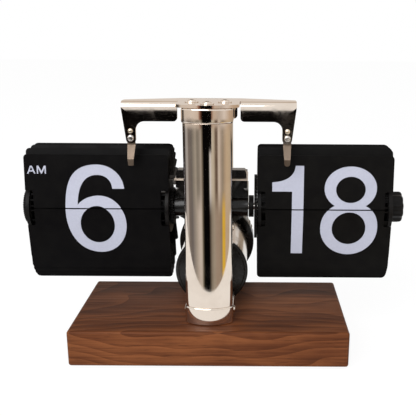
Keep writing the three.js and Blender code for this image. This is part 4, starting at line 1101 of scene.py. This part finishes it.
for filmNode, filmValues in {
    "hour_six_upper": ("sixUpper", "six", "hour_falling"),
    "hour_six_lower": ("sixLower", "six", "stand"),
    "minute_one_upper": ("oneUpper", "one", "minute_falling"),
    "minute_one_lower": ("oneLower", "one", "stand"),
    "minute_eight_upper": ("eightUpper", "eight", "minute_falling"),
    "minute_eight_lower": ("eightLower", "eight", "stand"),
    "letter_a": ("letterA", "a", "hour_falling"),
    "letter_m": ("letterM", "m", "hour_falling"),
}.items():
    makeFilm(filmNode, *filmValues)
print("numerals made")

# Movement and shafts: finer copies of the solids, each with its finish, its body and its broken edge

refined = {
    "movement_case": ("glossMoulding", "stand", 0.3),
    "movement_cover": ("glossMoulding", "stand", 0.3),
    "top_block": ("glossMoulding", "stand", 0.35),
    "battery_saddle": ("glossMoulding", "stand", 0.3),
    "movement_plate": ("paleSteel", "stand", 0.12),
    "motor": ("brushedSteel", "stand", 0.3, "motorCan"),
    "motor_pinion": ("turnedBrass", "motor_rotor", 0.05),
    "transfer_gear": ("turnedBrass", "transfer", 0.05),
    "hour_wheel": ("satinMoulding", "hour_drum", 0.06),
    "minute_wheel": ("satinMoulding", "minute_drum", 0.06),
    "hour_shaft": ("turnedSteel", "hour_drum", 0.15),
    "minute_shaft": ("turnedSteel", "minute_drum", 0.08),
}
for refinedNode, refinedValues in refined.items():
    refineNode(refinedNode, *refinedValues)
print("movement made")

# Drum discs, turned with the groove that the leaves' lugs run in, and the sleeves between them.
# The collar is the black washer between the case and the minute wheel

disc = {"radius": 14.4, "bore": 2.1, "grooveInner": 11.7, "grooveOuter": 13.8, "grooveDepth": 1, "thickness": 2,
        "edge": 0.2, "edgeSteps": 3, "steps": 72}
sleeve = {"bore": 6, "radius": 7.5, "edge": 0.3, "edgeSteps": 2, "steps": 64}
collar = {"bore": 2.2, "radius": 6, "ends": (20.25, 23.05), "edge": 0.25, "edgeSteps": 2, "steps": 48}


def discProfile(face, towards):
    back = face - towards * disc["thickness"]
    floor = face - towards * disc["grooveDepth"]
    return [
        (disc["bore"], back), (disc["radius"], back), (disc["radius"], face), (disc["grooveOuter"], face),
        (disc["grooveOuter"], floor), (disc["grooveInner"], floor), (disc["grooveInner"], face),
        (disc["bore"], face),
    ]


def tubeProfile(size, ends):
    return [(size["bore"], ends[0]), (size["radius"], ends[0]), (size["radius"], ends[1]), (size["bore"], ends[1])]


def makeRing(node, profile, size, body, name=""):
    bm = bmesh.new()
    turned(bm, profile, "X", (0, *axis), size["steps"], True)
    roundEdges(bm, size["edge"], size["edgeSteps"])
    finishPiece(bm, node, "satinMoulding", body, name)


for key, drum in drums.items():
    for side in ("inner", "outer"):
        makeRing(f"{key}_disc_{side}", discProfile(*drum[side]), disc, key + "_drum")
for key, drum in drums.items():
    makeRing(key + "_sleeve", tubeProfile(sleeve, drum["sleeve"]), sleeve, key + "_drum")
makeRing("", tubeProfile(collar, collar["ends"]), collar, "minute_drum", "minuteCollar")
print("discs, sleeves and collar made")

# Knob and setting wheel: a ring of points pushed in between the teeth, then drawn out from its start along X

wheelAngle = 50
knob = {"radius": 8.6, "start": 96.9, "turn": 90, "length": 6.99, "teeth": 10, "depth": 0.8, "lip": 0.3,
        "round": 1.7, "roundSteps": 5, "steps": 160, "bore": 2.1}
settingWheel = {"radius": 10.2, "start": -98.1, "turn": -90, "length": 2.4, "teeth": 48, "depth": 0.55, "lip": 0.3,
                "round": 0.35, "roundSteps": 5, "steps": 240, "bore": 2.1}


# How far out of the gap between two teeth a point lies: 1 on a tooth and 0 in a gap
def toothWave(teeth, rise, across):
    return (1 + math.cos(teeth * math.atan2(rise, across))) / 2


def drawWheel(bm, size):
    ring = bmesh.ops.create_circle(bm, segments=size["steps"], radius=size["radius"])["verts"]
    for v in ring:
        wave = toothWave(size["teeth"], v.co.y, v.co.x)
        v.co *= 1 - size["depth"] * (1 - wave) / size["radius"]
    edges = edgesAt(ring)
    straight, curve, steps = size["length"] - size["round"], size["round"], size["roundSteps"]
    stops = [(0, -size["lip"]), (size["lip"], 0), (straight, 0)]
    for k in range(1, steps + 1):
        turn = math.radians(90) * k / steps
        stops.append((straight + curve * math.sin(turn), -curve * (1 - math.cos(turn))))
    last, lastShare = 0, 1
    for z, shrink in stops:
        if z:
            made = bmesh.ops.extrude_edge_only(bm, edges=edges)["geom"]
            ring = vertsOf(made)
            edges = [g for g in made if isinstance(g, bmesh.types.BMEdge)
                     and all(v in set(ring) for v in g.verts)]
        share = (1 + shrink / size["radius"]) / lastShare
        move(bm, (0, 0, z - last), verts=ring)
        bmesh.ops.scale(bm, vec=(share, share, 1), verts=ring)
        last, lastShare = z, lastShare * share


# Closes both open rims with a flat ring in to the bore, and cuts the bore through
def closeWithBore(bm, size):
    rims = openEdges(bm.edges)
    for pick in (max, min):
        level = pick(v.co.z for v in bm.verts)
        rim = [e for e in rims if all(abs(v.co.z - level) < weldDistance for v in e.verts)]
        hole = bmesh.ops.create_circle(bm, segments=size["steps"], radius=size["bore"])["verts"]
        move(bm, (0, 0, level), verts=hole)
        bmesh.ops.bridge_loops(bm, edges=rim + edgesAt(hole))
    bmesh.ops.bridge_loops(bm, edges=openEdges(bm.edges))


def makeWheel(node, size, body):
    bm = bmesh.new()
    drawWheel(bm, size)
    closeWithBore(bm, size)
    move(bm, (size["start"], *axis), size["turn"], "Y")
    finishPiece(bm, node, "satinMoulding", body, sharpAngle=wheelAngle)


makeWheel("time_knob", knob, "minute_drum")
makeWheel("hour_setting_wheel", settingWheel, "hour_drum")
print("knob and setting wheel made")

# Battery holder: all turned round Y at its own height. A turned piece has its finish, its body, its rounded
# edge, whether its profile closes off the axis, and its profile. The cover is ribbed beyond the first reach
# between the ribs' ends, and beyond the second one everywhere

battery = {
    "height": 41,
    "steps": 96,
    "edgeSteps": 2,
    "edgeAngle": 30,
    "turned": {
        "battery_front_cap": ("glossMoulding", "stand", 0.15, False, [
            (0, -0.6), (17.9, -0.6), (18.3, -1), (19.4, -1), (19.9, -0.5), (19.9, 1), (0, 1)]),
        "battery_tube": ("nickelWithPaintedWoodReflection", "stand", 0.15, True, [
            # The tube's finish carries a painted reflection: its nickel is darkened and browned for the walnut
            # that it mirrors
            (17.6, 1.3), (19.3, 1.3), (19.3, 54.2), (17.6, 54.2)]),
        "battery_rear_ring": ("glossMoulding", "stand", 0.2, True, [
            (19.6, 51.2), (23.2, 51.2), (23.2, 52.6), (22.8, 52.8), (22.8, 53.6), (23.2, 53.8), (23.2, 55.2),
            (19.6, 55.2)]),
        "battery_cell": ("cellJacket", "cell", 0.2, False, [
            (0, 3.3), (4.1, 3.3), (4.5, 3.7), (4.5, 4.7), (15.6, 4.7), (16.2, 5.1), (17, 5.1), (17, 63.6),
            (16.2, 64.3), (0, 64.3)]),
    },
    "cover": [(19.6, 55.5), (23.2, 55.5), (23.2, 65), (21.7, 66.5), (16.5, 66.5), (15.9, 66), (0, 66), (0, 64.6),
              (19.6, 64.6)],
    "ribs": 44,
    "ribDepth": 0.35,
    "ribReach": (23, 23.1),
    "ribEnds": (56, 65.5),
    "ribSteps": 6,
    "coil": 3.2,
    "wire": 0.35,
    "wireSteps": 8,
    "coilFront": 1.43,
    "coilBack": 2.87,
    "turns": 2,
    "turnSteps": 20,
}


def makeTurned(node, finish, body, edge, close, profile):
    bm = bmesh.new()
    turned(bm, profile, "Y", (0, 0, battery["height"]), battery["steps"], close)
    roundEdges(bm, edge, battery["edgeSteps"], battery["edgeAngle"])
    finishPiece(bm, node, finish, body)


def makeBatteryCover():
    b = battery
    sideReach, anyReach = b["ribReach"]
    bm = bmesh.new()
    turned(bm, b["cover"], "Y", (0, 0, b["height"]), b["ribs"] * b["ribSteps"], True)
    for v in bm.verts:
        reach = Vector((v.co.x, 0, v.co.z - b["height"]))
        onSide = b["ribEnds"][0] < v.co.y < b["ribEnds"][1]
        if reach.length > sideReach and onSide or reach.length > anyReach:
            v.co -= reach.normalized() * b["ribDepth"] * (1 - toothWave(b["ribs"], reach.z, reach.x))
    finishPiece(bm, "battery_cover", "glossMoulding", "cover")


def makeSpring():
    b = battery
    bm = bmesh.new()
    bmesh.ops.create_circle(bm, segments=b["wireSteps"], radius=b["wire"], cap_ends=True)
    move(bm, (b["coil"], b["coilFront"], 0))
    steps = b["turns"] * b["turnSteps"]
    rise = (b["coilBack"] - b["coilFront"]) / steps
    bmesh.ops.spin(bm, geom=bm.faces[:], cent=(0, 0, 0), axis=(0, 1, 0), dvec=(0, rise, 0),
                   angle=math.tau * b["turns"], steps=steps)
    move(bm, (0, 0, b["height"]))
    finishPiece(bm, "battery_spring", "springBronze", "stand")


for turnedNode, turnedValues in battery["turned"].items():
    makeTurned(turnedNode, *turnedValues)
makeBatteryCover()
makeSpring()
print("battery holder made")

# The felt sheet keeps its own shape
nodes["felt_sheet"].data.materials.clear()
nodes["felt_sheet"].data.materials.append(finishes["felt"])

# Studio: a pale floor, a white surround, soft light, and cards that only the bright metal sees. In metres

studio = {
    "floorSize": 8,
    "floor": 0.9,
    "floorGlow": 1.05,
    "floorShare": 0.88,
    "surround": 1.0,
    "fill": 0.55,
    "keyPower": 22,
    "keySize": 1.3,
    "keyPlace": (-0.55, -1.25, 1.0),
    "keyTarget": (0, 0, 0.07),
    "cardLift": 0.0005,
    "cardCentre": -0.02,
    "tableEdge": -0.122,
    "nearEnd": 0.3,
    "lowToHigh": (0.3, 0.42),
    "highToCap": (0.9, 0.93),
    "farBlack": -3,
    "farBlackHalf": 12,
    "farBlackStart": (0.64, 0.67),
    "farTone": rgb(9, 8, 8),
    "wallBack": 0.6,
    "wallFoot": 0.1,
    "wallSize": 2.4,
    "wallTones": (rgb(206, 196, 188), rgb(226, 216, 206)),
}


def lightPathMask(tree):
    path = addNode(tree, "ShaderNodeLightPath", {}).outputs
    seen = largest(path["Is Camera Ray"], path["Is Glossy Ray"])
    return largest(seen, path["Is Transmission Ray"])


def makeWorld():
    world = bpy.data.worlds.new("studio")
    bpy.context.scene.world = world
    world.use_nodes = True
    tree = world.node_tree
    strength = remap(lightPathMask(tree), 0, 1, studio["fill"], studio["surround"])
    setInputs(tree.nodes["Background"], {"Color": (1, 1, 1, 1), "Strength": strength})


# A plane of the studio, with the tree of its empty material
def stagePlane(name, materialName, size, place=(0, 0, 0), turn=0):
    bm = bmesh.new()
    bmesh.ops.create_grid(bm, x_segments=1, y_segments=1, size=size / 2)
    move(bm, place, turn)
    material = bpy.data.materials.new(materialName)
    material.use_nodes = True
    tree = material.node_tree
    tree.nodes.remove(tree.nodes["Principled BSDF"])
    plane = meshObject(name, bm, material)
    return plane, tree


def setSurface(tree, surface):
    setInputs(tree.nodes["Material Output"], {"Surface": surface})


def glow(tree, colour, strength=1.0):
    return addNode(tree, "ShaderNodeEmission", {"Color": colour, "Strength": strength}).outputs["Emission"]


def mixShaders(share, first, second):
    return addNode(treeOf(share), "ShaderNodeMixShader", {0: share, 1: first, 2: second}).outputs["Shader"]


def makeFloor():
    _, tree = stagePlane("floor", "paleFloor", studio["floorSize"])
    matt = addNode(tree, "ShaderNodeBsdfDiffuse", {"Color": (studio["floor"],) * 3 + (1,)}).outputs["BSDF"]
    share = remap(lightPathMask(tree), 0, 1, 0, studio["floorShare"])
    setSurface(tree, mixShaders(share, matt, glow(tree, (1, 1, 1, 1), studio["floorGlow"])))


# What the chromed front mirrors, as a turn and its red, green and blue: 0 is straight ahead, 90 to the right.
# The cap mirrors what lies far ahead, the upper column what is nearer, and the lower column the nearest
highStops = [
    (-180, 110, 104, 98), (-132, 60, 54, 50), (-75, 52, 48, 46), (-68, 160, 160, 162), (-61, 186, 184, 184),
    (-57, 130, 122, 118), (-48, 118, 114, 112), (-42, 150, 146, 138), (-36, 176, 170, 160), (-31, 138, 134, 126),
    (-26, 150, 144, 136), (-21, 180, 174, 166), (-17, 120, 112, 100), (-13.5, 8, 8, 8), (0.5, 8, 8, 8),
    (2, 70, 74, 56), (4, 230, 231, 238), (9, 214, 208, 196), (15, 204, 196, 178), (20, 112, 94, 82),
    (24, 108, 92, 78), (29, 232, 222, 212), (34, 190, 178, 166), (40, 158, 148, 134), (46, 190, 172, 150),
    (52, 208, 190, 164), (90, 192, 178, 158), (180, 172, 158, 142),
]
lowStops = [
    (-180, 110, 104, 98), (-132, 60, 54, 50), (-75, 52, 48, 46), (-68, 170, 168, 170), (-61, 196, 192, 190),
    (-57, 130, 122, 118), (-48, 118, 114, 114), (-42, 152, 146, 142), (-36, 176, 170, 162), (-31, 196, 188, 180),
    (-26, 214, 206, 200), (-21, 206, 200, 192), (-17, 110, 104, 88), (-13.5, 8, 8, 8), (1.5, 8, 8, 8),
    (4, 92, 84, 76), (9, 150, 142, 130), (15, 172, 164, 150), (22, 172, 156, 142), (31, 168, 152, 136),
    (37, 150, 136, 120), (40, 236, 196, 72), (46, 230, 188, 70), (48.5, 204, 186, 162), (90, 192, 178, 158),
    (180, 172, 158, 142),
]
capStops = [
    (-180, 110, 104, 98), (-132, 90, 84, 78), (-75, 90, 84, 78), (-66, 226, 218, 210), (-40, 236, 226, 218),
    (-26, 226, 212, 200), (-22, 160, 116, 98), (-18, 84, 54, 42), (-15, 8, 8, 8), (5, 8, 8, 8), (7, 74, 80, 60),
    (9, 140, 100, 82), (15, 214, 196, 180), (30, 204, 194, 186), (44, 236, 228, 222), (60, 208, 186, 164),
    (180, 172, 158, 142),
]


def onlyMirrored(card):
    card.visible_camera = False
    card.visible_diffuse = False
    card.visible_shadow = False
    card.visible_transmission = False


def makeCard():
    card, tree = stagePlane("mirrorCard", "mirrorCard", studio["floorSize"], (0, 0, studio["cardLift"]))
    onlyMirrored(card)
    place = objectPlace(tree)
    parts = addNode(tree, "ShaderNodeSeparateXYZ", {"Vector": place}).outputs
    ahead = times(minus(parts["Y"], studio["cardCentre"]), -1.0)
    turn = divide(mathNode("ARCTAN2", parts["X"], ahead), math.tau)
    share = plus(turn, 0.5)
    distance = addNode(tree, "ShaderNodeVectorMath", {0: place}, operation="LENGTH").outputs["Value"]
    low, high, cap = (ramp(share, [((stop + 180) / 360, rgb(*tone)) for stop, *tone in stops])
                      for stops in (lowStops, highStops, capStops))
    colour = mixColour(remap(distance, *studio["lowToHigh"], kind="SMOOTHSTEP"), low, high)
    colour = mixColour(remap(distance, *studio["highToCap"]), colour, cap)
    inBand = mathNode("COMPARE", share, 0.5 + studio["farBlack"] / 360)
    inBand.node.inputs[2].default_value = studio["farBlackHalf"] / 360
    farBlack = times(inBand, remap(distance, *studio["farBlackStart"]))
    colour = mixColour(farBlack, colour, studio["farTone"])
    shown = largest(mathNode("LESS_THAN", parts["Y"], studio["tableEdge"]),
                     mathNode("GREATER_THAN", distance, studio["nearEnd"]))
    clear = addNode(tree, "ShaderNodeBsdfTransparent", {}).outputs["BSDF"]
    setSurface(tree, mixShaders(shown, clear, glow(tree, colour)))


# A warm wall behind the clock, for the top plate to mirror
def makeBackCard():
    wall = (0, studio["wallBack"], studio["wallSize"] / 2 + studio["wallFoot"])
    card, tree = stagePlane("backCard", "backCard", studio["wallSize"], wall, 90)
    onlyMirrored(card)
    drift = noise(objectPlace(tree), 1.6, 1)
    setSurface(tree, glow(tree, mixColour(remap(drift, 0.35, 0.65), *studio["wallTones"])))


def makeKeyLight():
    data = bpy.data.lights.new("softKey", "AREA")
    data.energy = studio["keyPower"]
    data.shape = "DISK"
    data.size = studio["keySize"]
    lamp = linkObject("softKey", data)
    lamp.location = studio["keyPlace"]
    towards = Vector(studio["keyTarget"]) - Vector(studio["keyPlace"])
    lamp.rotation_euler = towards.to_track_quat("-Z", "Y").to_euler()


makeWorld()
makeFloor()
makeCard()
makeBackCard()
makeKeyLight()
bpy.context.scene.view_settings.view_transform = "Standard"
print("studio made")

print("pieces:", len(pieceList))
